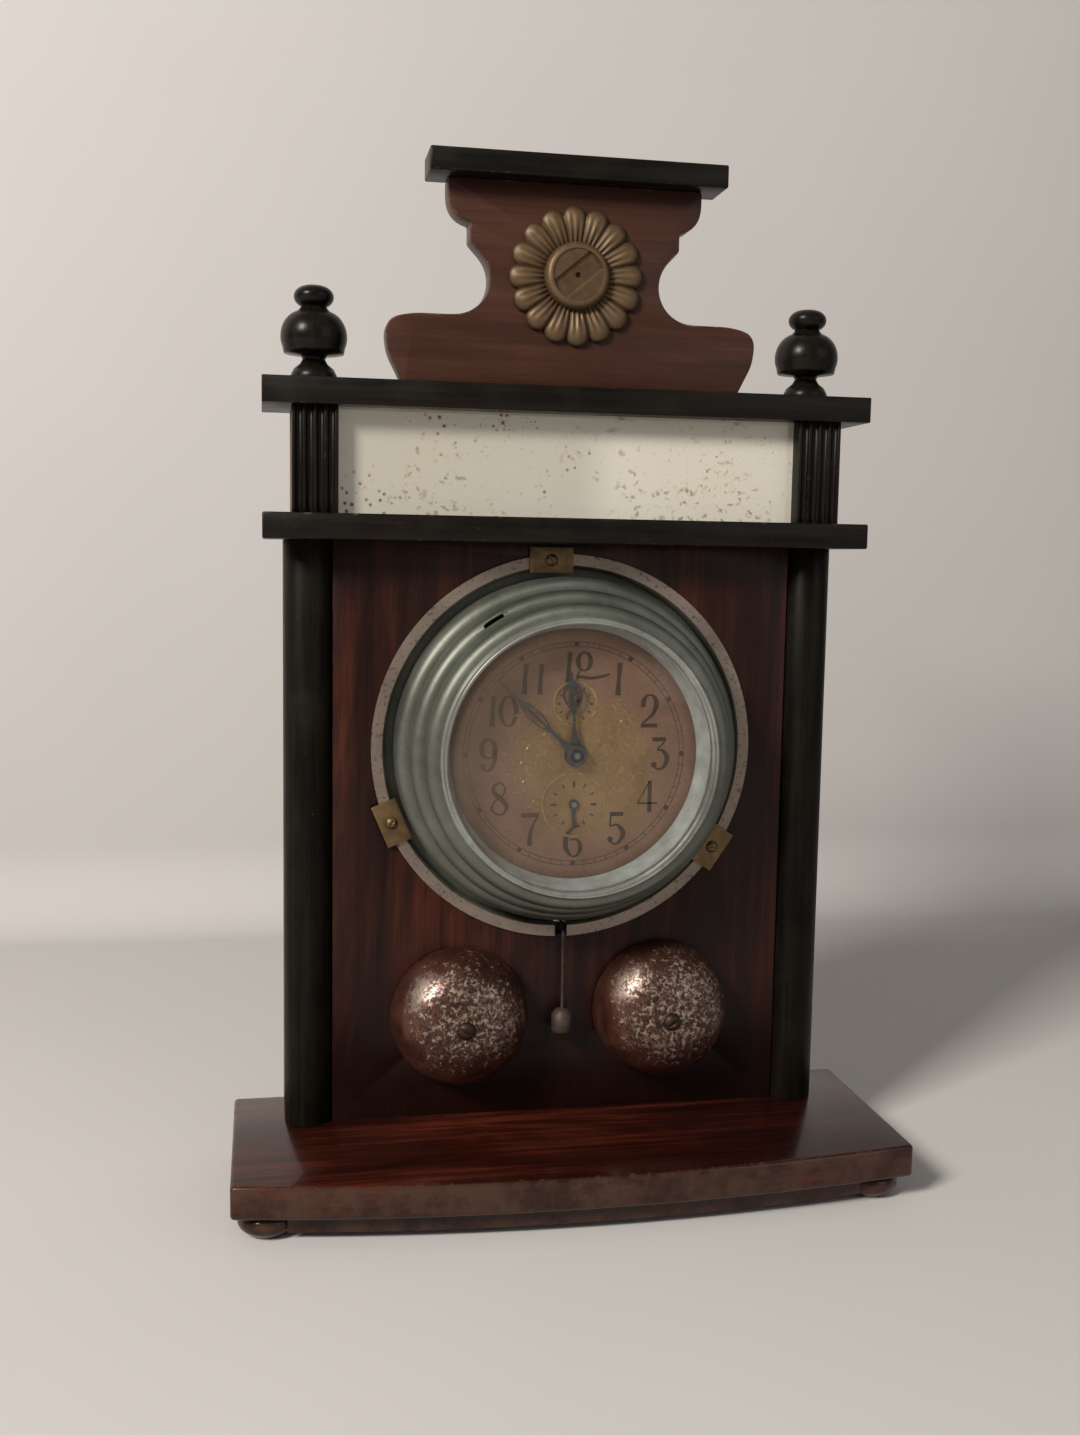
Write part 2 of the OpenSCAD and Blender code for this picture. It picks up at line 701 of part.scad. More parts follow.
module back_cover() {
    rim = drum_r - sheet_t - 0.1;
    color("tan") difference() {
        turned(0, dial_z, [[0, drum_back], [rim - 1, drum_back], [rim - 1, drum_back - 3.4],
            [rim, drum_back - 3.4], [rim, drum_back], [drum_r, drum_back],
            [drum_r, drum_back + cover_t], [0, drum_back + cover_t]]);
        shaft([0, 0], arbor_r + 1, drum_back - 1, drum_back + cover_t + 1);
        shaft(alarm_at, arbor_r + 1, drum_back - 1, drum_back + cover_t + 1);
        shaft(great_at, key_r + 1, drum_back - 1, drum_back + cover_t + 1);
        shaft(alarm_great_at, key_r + 1, drum_back - 1, drum_back + cover_t + 1);
        for (a = pillar_angles)
            shaft(polar(plate_d / 2 - 5, a), post_screw_r + 0.1, drum_back - 1, drum_back + cover_t + 1);
    }
}

function clip_centre(a) = polar(clip_r, a);

module clips() {
    color("goldenrod") for (i = [0 : len(clip_angles) - 1]) difference() {
        at = clip_centre(clip_angles[i]);
        slab(at[0], dial_z + at[1], flange_y - clip_t, flange_y) rotate(clip_turns[i])
            square([clip_w, clip_l], center = true);
        shaft(at, clip_screw_r + 0.15, flange_y - clip_t - 1, panel_y + 1);
    }
}

module clip_screws() {
    head = flange_y - clip_t;
    color("darkgoldenrod") for (a = clip_angles) difference() {
        union() {
            shaft(clip_centre(a), clip_screw_r, head - eps, panel_y + 5.8);
            translate([clip_centre(a)[0], 0, dial_z + clip_centre(a)[1]]) turned(0, 0,
                [[0, head - 1.3], [1.1, head - 1.2], [1.9, head - 0.7], [2.3, head], [0, head]]);
        }
        slab(clip_centre(a)[0], dial_z + clip_centre(a)[1], head - 2, head - 0.7) rotate(a + 30)
            translate([-4, -0.3]) square([8, 0.6]);
    }
}

// Movement

module plate(front) {
    slab(0, dial_z, front, front + plate_t) circle(d = plate_d);
}

module front_plate() {
    color("khaki") difference() {
        plate(plate_front);
        arbor_holes(plate_front);
        shaft(minute_at, arbor_r + run_gap, plate_front - 1, work_front + 1);
    }
}

module back_plate() {
    color("khaki") difference() {
        plate(work_back);
        arbor_holes(work_back);
        for (a = pillar_angles)
            shaft(polar(plate_d / 2 - 5, a), post_screw_r + run_gap, work_back - 1, plate_back + 1);
        shaft([0, -bracket_screw_drop], post_screw_r + run_gap, work_back - 1, plate_back + 1);
    }
}

// Pivot holes through a plate
module arbor_holes(front) {
    back = front + plate_t;
    for (at = [[0, 0], alarm_at]) shaft(at, arbor_r + run_gap, front - 1, back + 1);
    for (at = [third_at, seconds_at, escape_at, pallet_at, balance_at, alarm_escape_at])
        shaft(at, pivot_r + run_gap, front - 1, back + 1);
    for (at = [great_at, alarm_great_at]) shaft(at, key_r + run_gap, front - 1, back + 1);
}

module pillars() {
    color("gold") for (a = pillar_angles) {
        at = polar(plate_d / 2 - 5, a);
        shaft(at, pillar_r, work_front, work_back);
        shaft(at, post_screw_r, work_back - eps, drum_back + cover_t + eps);
        shaft(at, pillar_r, plate_back, drum_back);
        shaft(at, 2.2, drum_back + cover_t, drum_back + cover_t + 1.2);
    }
}

// An arbor between the plates with thin pivots in both
module arbor(at) {
    shaft(at, pivot_r, plate_front, plate_back);
    shaft(at, arbor_r, work_front + 0.3, work_back - 0.3);
}

module great_wheel() {
    color("gold") wheel(great_at, great_teeth, tooth_size, heading(great_at, [0, 0]), great_level, 1.4,
        key_r + run_gap);
}

// An open mainspring, wound as a spiral about its arbor
module mainspring(at, out_r, end, front, back) {
    turns = 5;
    per = 24;
    n = turns * per;
    ribbon = 0.45;
    post = 0.9;
    in_r = key_r + 0.4;
    function line(off) = [for (i = [0 : n]) polar(in_r + (out_r - in_r) * i / n + off, end + 360 * i / per)];
    outer = line(ribbon);
    inner = line(0);
    union() {
        slab(at[0], dial_z + at[1], front, back)
            polygon(concat(outer, [for (i = [n : -1 : 0]) inner[i]]));
        shaft(at + polar(out_r + ribbon + post * 0.8, end), post, work_front, back);
    }
}

module time_spring() {
    color("slategray") mainspring(great_at, spring_share * great_teeth * tooth_size,
        great_angle, spring_front, great_level - 0.8);
}

module centre_wheel() {
    color("gold") difference() {
        union() {
            wheel([0, 0], centre_teeth, tooth_size, heading([0, 0], third_at), centre_level, 1, 0);
            pinion([0, 0], centre_leaves, tooth_size, heading([0, 0], great_at) + 180 / centre_leaves,
                centre_level + 0.9, work_back - 0.4);
            shaft([0, 0], 2.2, work_front + 0.4, centre_level + 1);
        }
        shaft([0, 0], arbor_r + run_gap, work_front, work_back);
    }
}

module third_wheel() {
    color("gold") union() {
        arbor(third_at);
        wheel(third_at, third_teeth, tooth_size, heading(third_at, seconds_at), third_level, 0.9, 0);
        pinion(third_at, third_leaves, tooth_size, heading(third_at, [0, 0]) + 180 / third_leaves,
            centre_level - 0.5, centre_level + 1.5);
    }
}

module seconds_wheel() {
    color("gold") union() {
        arbor(seconds_at);
        wheel(seconds_at, seconds_teeth, tooth_size, heading(seconds_at, escape_at), seconds_level, 0.8, 0);
        pinion(seconds_at, seconds_leaves, tooth_size, heading(seconds_at, third_at) + 180 / seconds_leaves,
            third_level - 0.4, third_level + 1.3);
        shaft(seconds_at, pivot_r, dial_y - 0.9, plate_front + eps);
    }
}

module escape_wheel() {
    r = 6.6;
    color("gold") union() {
        arbor(escape_at);
        pinion(escape_at, escape_leaves, tooth_size, heading(escape_at, seconds_at) + 180 / escape_leaves,
            seconds_level - 0.3, seconds_level + 1.1);
        slab(escape_at[0], dial_z + escape_at[1], escape_level, escape_level + 0.8) difference() {
            polygon([for (i = [0 : escape_teeth - 1]) let (a = 24 * i)
                each [polar(r * 0.78, a), polar(r, a + 9), polar(r * 0.96, a + 11), polar(r * 0.78, a + 14)]]);
            difference() {
                circle(r = r * 0.62);
                circle(r = 2);
                for (a = [0 : 90 : 270]) rotate(a) translate([0, -0.5]) square([r, 1]);
            }
        }
    }
}

module pallet_lever() {
    to_wheel = heading(pallet_at, escape_at);
    to_balance = heading(pallet_at, balance_at);
    color("silver") union() {
        arbor(pallet_at);
        slab(pallet_at[0], dial_z + pallet_at[1], escape_level + 1.1, escape_level + 1.9) {
            circle(r = 1.8);
            for (side = [-1, 1]) rotate(to_wheel + side * 42) translate([0, -0.5]) square([5.8, 1]);
            rotate(to_balance) translate([0, -0.5]) square([7.4, 1]);
        }
        for (side = [-1, 1])
            shaft(pallet_at + polar(5.4, to_wheel + side * 42), 0.3, escape_level, escape_level + 1.2);
    }
}

module balance_wheel() {
    level = escape_level + 3.6;
    color("gold") union() {
        arbor(balance_at);
        slab(balance_at[0], dial_z + balance_at[1], level, level + 1.2) difference() {
            circle(r = 7);
            difference() {
                circle(r = 5.8);
                circle(r = 1.6);
                translate([-6, -0.6]) square([12, 1.2]);
            }
        }
    }
}

module hairspring() {
    n = 96;
    function line(off) = [for (i = [0 : n]) polar(1.6 + 3 * i / n + off, 360 * i / 24)];
    inner = line(0);
    stud = balance_at + polar(4.8, 0);
    front = escape_level + 6.4;
    color("steelblue") union() {
        slab(balance_at[0], dial_z + balance_at[1], front, front + 0.8)
            polygon(concat(line(0.2), [for (i = [n : -1 : 0]) inner[i]]));
        shaft(stud, 0.5, front - 0.2, work_back);
    }
}

// Hands and motion work

module centre_arbor() {
    color("silver") union() {
        shaft([0, 0], arbor_r, minute_hand_y - 0.8, knob_front + 6);
        pinion([0, 0], cannon_leaves, minute_size, 180 + 180 / cannon_leaves, cannon_level, cannon_level + 1.4);
    }
}

// A knurled setting knob on an arbor behind the back cover
module knob(at) {
    front = knob_front + 2.4;
    color("goldenrod") difference() {
        union() {
            shaft(at, 2.4, knob_front, front + eps);
            slab(at[0], dial_z + at[1], front, front + 5) difference() {
                circle(r = 5.2);
                for (i = [0 : 23]) rotate(15 * i) translate([5.3, 0]) circle(r = 0.35, $fn = 16);
            }
        }
        shaft(at, arbor_r + 0.02, knob_front - 1, knob_front + 6);
    }
}

module time_set_knob() {
    knob([0, 0]);
}

module alarm_set_knob() {
    knob(alarm_at);
}

module minute_wheel() {
    color("gold") union() {
        wheel(minute_at, minute_teeth, minute_size, 0, cannon_level + 0.3, 0.8, 0);
        pinion(minute_at, minute_leaves, hour_size, 180 / minute_leaves, hour_level - 0.3, cannon_level + 0.4);
        shaft(minute_at, arbor_r, hour_level - 0.4, work_front);
    }
}

module hour_wheel() {
    color("gold") difference() {
        union() {
            wheel([0, 0], hour_teeth, hour_size, 180, hour_level, 0.8, arbor_r + run_gap);
            shaft([0, 0], pipe_r, hour_hand_y, hour_level + 0.1);
        }
        shaft([0, 0], arbor_r + run_gap, hour_hand_y - 1, plate_front);
    }
}

// A pierced leaf on a slim stem: a hub, the stem, the leaf between two radii and a fine point
module leaf_hand_2d(reach, from, to, half_w, hub, bore) {
    n = 12;
    function half(t) = 0.45 + (half_w - 0.45) * sin(180 * t ^ 1.25);
    function side(s) = concat([[hub * 0.8, s * hub * 0.5], [hub * 1.9, s * 0.9], [hub * 2.6, s * 0.45]],
        [for (i = [0 : n]) [from + (to - from) * i / n, s * half(i / n)]], [[reach, s * 0.15]]);
    function slot(s) = let (k = [for (i = [3 : n - 3]) i / n]) concat(
        [for (t = k) [from + (to - from) * t, s * half(t) * 0.2]],
        [for (i = [n - 3 : -1 : 3]) [from + (to - from) * i / n, s * half(i / n) * 0.74]]);
    upper = side(1);
    lower = side(-1);
    difference() {
        union() {
            circle(r = hub);
            polygon(concat(lower, [for (i = [len(upper) - 1 : -1 : 0]) upper[i]]));
        }
        circle(r = bore);
        polygon(slot(1));
        polygon(slot(-1));
    }
}

module minute_hand() {
    color("dimgray") union() {
        slab(0, dial_z, minute_hand_y, minute_hand_y + hand_t) rotate(90 + minute_turn)
            leaf_hand_2d(minute_hand_l, minute_hand_l * 0.28, minute_hand_l * 0.73, 2.4, hub_r, arbor_r + 0.02);
        turned(0, dial_z, [[arbor_r + 0.02, minute_hand_y - 1], [1.8, minute_hand_y - 0.8],
            [2.3, minute_hand_y], [arbor_r + 0.02, minute_hand_y]]);
    }
}

module hour_hand() {
    color("dimgray") slab(0, dial_z, hour_hand_y, hour_hand_y + hand_t) rotate(90 + hour_turn)
        leaf_hand_2d(hour_hand_l, hour_hand_l * 0.49, hour_hand_l * 0.9, 3.8, hub_r + 0.4, pipe_r + 0.02);
}

module seconds_hand() {
    color("dimgray") slab(0, dial_z + subdial_pitch, dial_y - 0.7, dial_y - 0.7 + 0.3) difference() {
        union() {
            circle(r = 1.2);
            rotate(230) polygon([[-2.4, -0.5], [seconds_hand_l, -0.15], [seconds_hand_l, 0.15], [-2.4, 0.5]]);
        }
        circle(r = 0.62);
    }
}

// Alarm work

module alarm_arbor() {
    color("silver") union() {
        shaft(alarm_at, arbor_r, dial_y - 0.9, knob_front + 6);
        shaft(alarm_at, 2.2, hour_level + 1, hour_level + 2);
    }
}

module alarm_wheel() {
    color("gold") wheel(alarm_at, hour_teeth, hour_size, 90 + 180 / hour_teeth, hour_level, 0.8,
        arbor_r + run_gap);
}

module alarm_hand() {
    front = dial_y - 0.7;
    color("dimgray") slab(0, dial_z - subdial_pitch, front, front + 0.3) rotate(-94) difference() {
        union() {
            circle(r = 1.9);
            polygon([[0, -0.7], [alarm_hand_l * 0.55, -0.4], [alarm_hand_l, 0.7], [alarm_hand_l * 0.66, 0.4],
                [alarm_hand_l * 0.92, 2.2], [alarm_hand_l * 0.5, 0.5], [0, 0.7]]);
        }
        circle(r = arbor_r + 0.02);
    }
}

// A winding arbor with its folded wing key
module winding_key(at, wing, turn) {
    shaft(at, key_r, plate_front, drum_back + cover_t + 4);
    slab(at[0], dial_z + at[1], drum_back + cover_t + 0.6, drum_back + cover_t + 4.2) circle(r = key_r + 1.2);
    translate([at[0], 0, dial_z + at[1]]) rotate([0, turn, 0]) difference() {
        translate([0, 0, -0.6]) linear_extrude(1.2) union() {
            translate([-wing, drum_back + cover_t + 4]) square([2 * wing, key_back - drum_back - cover_t - 7]);
            for (sx = [-1, 1]) translate([sx * (wing - 3), key_back - 3]) circle(r = 3, $fn = 32);
            translate([3 - wing, key_back - 6]) square([2 * wing - 6, 3]);
        }
        for (sx = [-1, 1]) translate([sx * wing * 0.55, key_back - 4, -1]) cylinder(r = 1.4, h = 2, $fn = 24);
    }
}

module time_key() {
    color("silver") winding_key(great_at, 9, 24);
}

module alarm_key() {
    color("silver") winding_key(alarm_great_at, 7.6, -40);
}

module alarm_spring() {
    color("slategray") mainspring(alarm_great_at, spring_share * alarm_great_teeth * tooth_size,
        315, spring_front, alarm_level - 0.8);
}

module alarm_great_wheel() {
    color("gold") wheel(alarm_great_at, alarm_great_teeth, tooth_size, heading(alarm_great_at, alarm_escape_at),
        alarm_level, 1.2, key_r + run_gap);
}

module alarm_escape_wheel() {
    color("gold") union() {
        arbor(alarm_escape_at);
        pinion(alarm_escape_at, alarm_leaves, tooth_size,
            heading(alarm_escape_at, alarm_great_at) + 180 / alarm_leaves,
            alarm_level - 0.4, alarm_level + 1.6);
        slab(alarm_escape_at[0], dial_z + alarm_escape_at[1], alarm_level - 3.2, alarm_level - 2.2)
            polygon([for (i = [0 : alarm_escape_teeth - 1]) let (a = i * 360 / alarm_escape_teeth)
                each [polar(4.4, a), polar(5.8, a + 10), polar(4.4, a + 15)]]);
    }
}

// Gongs and hammer

module gong(sx) {
    n = 18;
    flat = post_r + 0.4;
    function dome(r, depth) = [for (i = [0 : n]) let (a = 90 * i / n)
        [flat + (r - flat) * cos(a) ^ 0.9, gong_rim - depth * sin(a) ^ 0.9]];
    inner = dome(gong_d / 2 - gong_t, gong_depth - gong_t);
    color("gray") turned(sx * gong_spacing / 2, gong_z, concat(dome(gong_d / 2, gong_depth),
        [[gong_screw_r + 0.2, gong_top], [gong_screw_r + 0.2, gong_top + gong_t]],
        [for (i = [n : -1 : 0]) inner[i]]));
}

module gong_posts() {
    color("darkgray") for (sx = [-1, 1]) translate([sx * gong_spacing / 2, 0, gong_z]) difference() {
        union() {
            turned(0, 0, [[0, gong_top + gong_t], [post_r, gong_top + gong_t], [post_r, panel_y],
                [post_r * 0.6, panel_y], [post_r * 0.6, panel_back + nut_t + 1.6],
                [0, panel_back + nut_t + 1.6]]);
            translate([0, panel_back + nut_t, 0]) rotate([90, 0, 0])
                cylinder(r = post_r * 1.25, h = nut_t, $fn = 6);
        }
        turned(0, 0, [[0, gong_top], [gong_screw_r + run_gap, gong_top],
            [gong_screw_r + run_gap, gong_top + gong_screw_l + 0.4], [0, gong_top + gong_screw_l + 0.4]]);
    }
}

module gong_screws() {
    color("dimgray") for (sx = [-1, 1]) translate([sx * gong_spacing / 2, 0, gong_z]) difference() {
        turned(0, 0, [[0, gong_top - 2.2], [1.8, gong_top - 2], [3, gong_top - 1.2], [3.4, gong_top],
            [gong_screw_r, gong_top], [gong_screw_r, gong_top + gong_screw_l], [0, gong_top + gong_screw_l]]);
        slab(0, 0, gong_top - 3, gong_top - 1.3) rotate(sx * 35) translate([-5, -0.4]) square([10, 0.8]);
    }
}

module hammer() {
    pivot = dial_z - pivot_drop;
    head = dial_z - head_drop;
    knee = [hammer_y - 1, pivot - 3.6];
    elbow = [hammer_hang_y + 1, pivot - 9.6];
    bend = [hammer_hang_y, pivot - 12];
    r = wire_d / 2;
    color("silver") difference() {
        union() {
            shaft([0, -pivot_drop], hammer_bush_r, hammer_y - 2, hammer_y + 1.7);
            wire([hammer_y, pivot - 1.5], knee, r);
            wire(knee, elbow, r);
            wire(elbow, bend, r);
            wire(bend, [hammer_hang_y, head + head_h / 2 - 1], r);
            slab(0, pivot, hammer_y + 0.6, hammer_y + 1.6) translate([-0.8, hammer_bush_r - 0.4])
                square([1.6, 13]);
            translate([0, hammer_hang_y, head - head_h / 2]) rotate_extrude() polygon([[0, 0],
                [head_d / 2 - 1, 0], [head_d / 2, 1.2], [head_d / 2, head_h - 2.4],
                [head_d / 2 - 1.6, head_h - 0.4], [0, head_h]]);
        }
        shaft([0, -pivot_drop], hammer_pin_r + run_gap, hammer_y - 3, hammer_y + 3);
    }
}

module hammer_bracket() {
    low = -pivot_drop - 1.5;
    screw = [0, -bracket_screw_drop];
    color("goldenrod") union() {
        slab(0, dial_z, plate_back, plate_back + 1.2) translate([-4, low])
            square([8, 4 - bracket_screw_drop - low]);
        shaft([0, -pivot_drop], hammer_pin_r, hammer_y - 2.3, plate_back + eps);
        shaft(screw, post_screw_r, work_back + 0.2, plate_back + 2.4);
    }
}

base_plate();
base_moulding();
bun_feet();
front_panel();
side_board(-1);  // side_left
side_board(1);  // side_right
column(-1);  // column_left
column(1);  // column_right
lower_cornice();
upper_cornice();
pilasters();
frieze_sides();
mirror_pane();  // mirror
mirror_board();
crest_board();
crest_cap();
rosette();
finials();
drum_case();
bezel();
glass();
bevel_ring();
dial();
back_cover();
clips();
clip_screws();
front_plate();
back_plate();
pillars();
time_spring();
great_wheel();
centre_wheel();
third_wheel();
seconds_wheel();
escape_wheel();
pallet_lever();
balance_wheel();
hairspring();
centre_arbor();
time_set_knob();
minute_wheel();
hour_wheel();
hour_hand();
minute_hand();
seconds_hand();
alarm_arbor();
alarm_set_knob();
alarm_wheel();
alarm_hand();
time_key();
alarm_key();
alarm_spring();
alarm_great_wheel();
alarm_escape_wheel();
gong(-1);  // gong_left
gong(1);  // gong_right
gong_posts();
gong_screws();
hammer();
hammer_bracket();
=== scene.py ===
"""The looks of the table clock: materials, softened boards, carved rosette, dial print and stage."""
import json
import math
from functools import reduce

import bmesh
import bpy
from mathutils import Matrix, Vector


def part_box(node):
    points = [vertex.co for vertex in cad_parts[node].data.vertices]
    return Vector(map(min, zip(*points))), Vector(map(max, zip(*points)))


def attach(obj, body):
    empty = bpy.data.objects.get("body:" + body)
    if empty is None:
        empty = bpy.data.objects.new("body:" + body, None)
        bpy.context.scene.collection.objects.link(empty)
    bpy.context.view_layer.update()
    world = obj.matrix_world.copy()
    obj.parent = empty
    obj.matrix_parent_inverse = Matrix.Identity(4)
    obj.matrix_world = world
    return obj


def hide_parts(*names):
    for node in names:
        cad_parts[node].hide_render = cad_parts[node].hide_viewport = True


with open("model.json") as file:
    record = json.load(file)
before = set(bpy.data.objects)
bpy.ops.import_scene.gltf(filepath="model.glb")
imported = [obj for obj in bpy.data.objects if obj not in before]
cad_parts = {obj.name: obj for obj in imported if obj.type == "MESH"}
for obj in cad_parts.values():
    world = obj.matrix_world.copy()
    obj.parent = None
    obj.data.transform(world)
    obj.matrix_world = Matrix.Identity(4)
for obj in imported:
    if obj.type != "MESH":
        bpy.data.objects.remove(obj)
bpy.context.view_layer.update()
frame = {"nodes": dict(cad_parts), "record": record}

MM = 0.001
WHOLE_TURN = 2 * math.pi

# Places measured from the frame
DRUM_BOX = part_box("drum_case")
DIAL_X = (DRUM_BOX[0][0] + DRUM_BOX[1][0]) / 2
DIAL_Z = (DRUM_BOX[0][2] + DRUM_BOX[1][2]) / 2
DIAL_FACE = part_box("dial")[0][1]
PANEL_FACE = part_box("front_panel")[0][1]

# The drum's flange begins at this radius, and the groove beside it begins behind this depth, where the
# drum's colour is darkened as painted shade
FLANGE_IN = 68.4 * MM
GROOVE_Y = PANEL_FACE + 3.5 * MM


# Node helpers


class Graph:
    """A material's node tree, with short names for the nodes it is built from.
    Texture coordinates are in metres, so noise at scale 500 has grains about 2 mm wide."""

    def __init__(self, name, **principled):
        self.mat = bpy.data.materials.new(name)
        self.mat.use_nodes = True
        self.nodes = self.mat.node_tree.nodes
        self.links = self.mat.node_tree.links
        self.nodes.clear()
        self.out = self.node("OutputMaterial")
        self.bsdf = self.node("BsdfPrincipled")
        self.put(self.out.inputs[0], self.bsdf.outputs[0])
        self.coord = self.node("TexCoord").outputs["Object"]
        self.set(**principled)

    def node(self, kind, **inputs):
        """A new node with the inputs that are named; an underscore stands for a space."""
        node = self.nodes.new("ShaderNode" + kind)
        for name, value in inputs.items():
            self.put(node.inputs[name.replace("_", " ")], value)
        return node

    def put(self, socket, value):
        """Links a socket or sets a plain value."""
        if isinstance(value, bpy.types.NodeSocket):
            self.links.new(value, socket)
        elif isinstance(value, tuple) and len(value) == 3 and len(socket.default_value) == 4:
            socket.default_value = (*value, 1.0)
        else:
            socket.default_value = value

    def set(self, **sockets):
        """Sets inputs of the principled shader, and returns the material."""
        for name, value in sockets.items():
            self.put(self.bsdf.inputs[name.replace("_", " ")], value)
        return self.mat

    def stretch(self, scale, shift=(0, 0, 0), turn=(0, 0, 0)):
        """Texture coordinates that are scaled, moved and turned."""
        return self.node("Mapping", Vector=self.coord, Location=shift, Rotation=turn, Scale=scale).outputs[0]

    def shifted(self, shift):
        """Texture coordinates moved elsewhere, so that pieces don't share their marks."""
        return self.stretch((1, 1, 1), shift)

    def noise(self, vector, scale, detail=3.0, rough=0.55, warp=0.0):
        return self.node("TexNoise", Vector=vector, Scale=scale, Detail=detail, Roughness=rough,
                         Distortion=warp).outputs[0]

    def cells(self, vector, scale):
        """Distance from the middle of the nearest cell."""
        return self.node("TexVoronoi", Vector=vector, Scale=scale).outputs["Distance"]

    def ramp(self, fac, stops, smooth=False):
        """Stops are (place, colour) or (place, value)."""
        node = self.node("ValToRGB", Fac=fac)
        node.color_ramp.interpolation = "EASE" if smooth else "LINEAR"
        while len(node.color_ramp.elements) < len(stops):
            node.color_ramp.elements.new(0.5)
        for element, (place, value) in zip(node.color_ramp.elements, stops):
            element.position = place
            element.color = (*value, 1) if isinstance(value, tuple) else (value, value, value, 1)
        return node.outputs["Color"]

    def mix(self, fac, a, b):
        """Mixes two colours."""
        node = self.nodes.new("ShaderNodeMix")
        node.data_type = "RGBA"
        self.put(node.inputs["Factor"], fac)
        self.put(node.inputs[6], a)
        self.put(node.inputs[7], b)
        return node.outputs[2]

    def blend(self, fac, a, b):
        """Mixes two shaders."""
        node = self.node("MixShader")
        for socket, value in zip(node.inputs, (fac, a, b)):
            self.put(socket, value)
        return node.outputs[0]

    def calc(self, op, a, b=0.0):
        """One step of arithmetic."""
        node = self.node("Math")
        node.operation = op
        self.put(node.inputs[0], a)
        self.put(node.inputs[1], b)
        return node.outputs[0]

    def add(self, *terms):
        return reduce(lambda a, b: self.calc("ADD", a, b), terms)

    def less(self, a, b):
        return self.calc("SUBTRACT", a, b)

    def times(self, a, b):
        return self.calc("MULTIPLY", a, b)

    def most(self, *terms):
        return reduce(lambda a, b: self.calc("MAXIMUM", a, b), terms)

    def sway(self, noise, amount):
        """Noise about zero instead of about a half."""
        return self.times(self.less(noise, 0.5), amount)

    def tenths(self, length):
        """Metres as tenths of a metre, which suit a ramp's places from 0 to 1."""
        return self.times(length, 10.0)

    def axis(self, name, vector=None):
        return self.node("SeparateXYZ", Vector=vector or self.coord).outputs[name]

    def normal(self, name):
        return self.axis(name, self.node("NewGeometry").outputs["Normal"])

    def forward(self):
        """How far a surface looks forward: 1 straight at the front, -1 at the back."""
        return self.times(self.normal("Y"), -1.0)

    def radius(self, x, z):
        """Distance from an axis along Y through (x, z), in metres."""
        dx = self.less(self.axis("X"), x)
        dz = self.less(self.axis("Z"), z)
        return self.calc("SQRT", self.add(self.times(dx, dx), self.times(dz, dz)))

    def attribute(self, name):
        node = self.node("Attribute")
        node.attribute_name = name
        return node.outputs["Fac"]

    def bump(self, height, distance, strength=1.0):
        """Adds a bump to those that the shader has."""
        node = self.node("Bump", Height=height, Distance=distance, Strength=strength)
        normal = self.bsdf.inputs["Normal"]
        if normal.links:
            self.put(node.inputs["Normal"], normal.links[0].from_socket)
        self.put(normal, node.outputs[0])


def along(axis, squeeze):
    """A scale that draws texture out along one axis."""
    return tuple(squeeze if i == "XYZ".index(axis) else 1.0 for i in range(3))


def scaled(shade, factor):
    """A colour made darker or lighter."""
    return tuple(min(v * factor, 1) for v in shade)


# Materials

# A near-black brown: the panel's darkest grain, and the colour of the shade painted low on the panel
DARK_GRAIN_AND_SHADE = (0.009, 0.0022, 0.0013)
WORN_WOOD = (0.16, 0.08, 0.045)


def wood(name, axis, dark, mid, light, gloss=0.3, shift=(0, 0, 0), worn=WORN_WOOD, coat=0.05, wear_and_shade=None):
    """Polished wood: broad figure, fine streaks, open pores, and wear on softened edges.
    The last argument is a function that says where a mark lies, and the mark's colour: worn polish on the
    base, painted shade on the panel."""
    g = Graph(name, Specular_IOR_Level=0.2)
    figure = g.noise(g.stretch(along(axis, 0.12), shift), 38, 4, 0.6, 1.2)
    streak = g.noise(g.stretch(along(axis, 0.03), shift), 420, 4, 0.7)
    pores = g.noise(g.stretch(along(axis, 0.045), shift), 1500, 2, 0.5)
    blotch = g.noise(g.shifted(shift), 22, 4, 0.6)
    tone = g.add(g.times(figure, 0.66), g.times(streak, 0.34))
    colour = g.ramp(tone, [(0.40, dark), (0.52, mid), (0.63, light)])
    pore = g.ramp(pores, [(0.3, 0.0), (0.42, 1.0)])
    colour = g.mix(g.times(g.less(1.0, pore), 0.55), colour, dark)
    colour = g.mix(g.ramp(blotch, [(0.35, 0.45), (0.65, 0.0)]), colour, dark)
    # A mark laid over the wood: worn polish on the base, painted shade on the panel
    if wear_and_shade:
        where, tint = wear_and_shade
        colour = g.mix(where(g), colour, tint)
    chip = g.times(g.attribute("edge"), g.ramp(g.noise(g.coord, 240, 5, 0.7), [(0.52, 0.0), (0.62, 1.0)]))
    colour = g.mix(chip, colour, worn)
    rough = g.add(g.ramp(blotch, [(0.3, gloss), (0.7, gloss + 0.14)]), g.times(chip, 0.25))
    g.bump(pore, 0.05 * MM, 0.5)
    g.bump(streak, 0.06 * MM, 0.35)
    g.bump(g.noise(g.coord, 60, 2), 0.4 * MM, 0.12)
    return g.set(Base_Color=colour, Roughness=rough, Coat_Weight=coat, Coat_Roughness=gloss * 0.5)


def gong_soot(g):
    """Painted shade where the drum and the gongs shadow the panel: darker low down round the gongs, and
    towards the right.
    """
    low = g.ramp(g.tenths(g.axis("Z")), [(0.4, 0.88), (1.0, 0.0)], True)
    right = g.ramp(g.tenths(g.axis("X")), [(0.1, 0.0), (0.8, 0.4)], True)
    return g.most(low, right)


def front_wear(g):
    """Mottled patches where the polish has gone from faces that look forward."""
    front = g.ramp(g.forward(), [(0.55, 0.0), (0.9, 1.0)])
    return g.times(front, g.ramp(g.noise(g.coord, 75, 6, 0.7), [(0.4, 0.12), (0.58, 0.85)]))


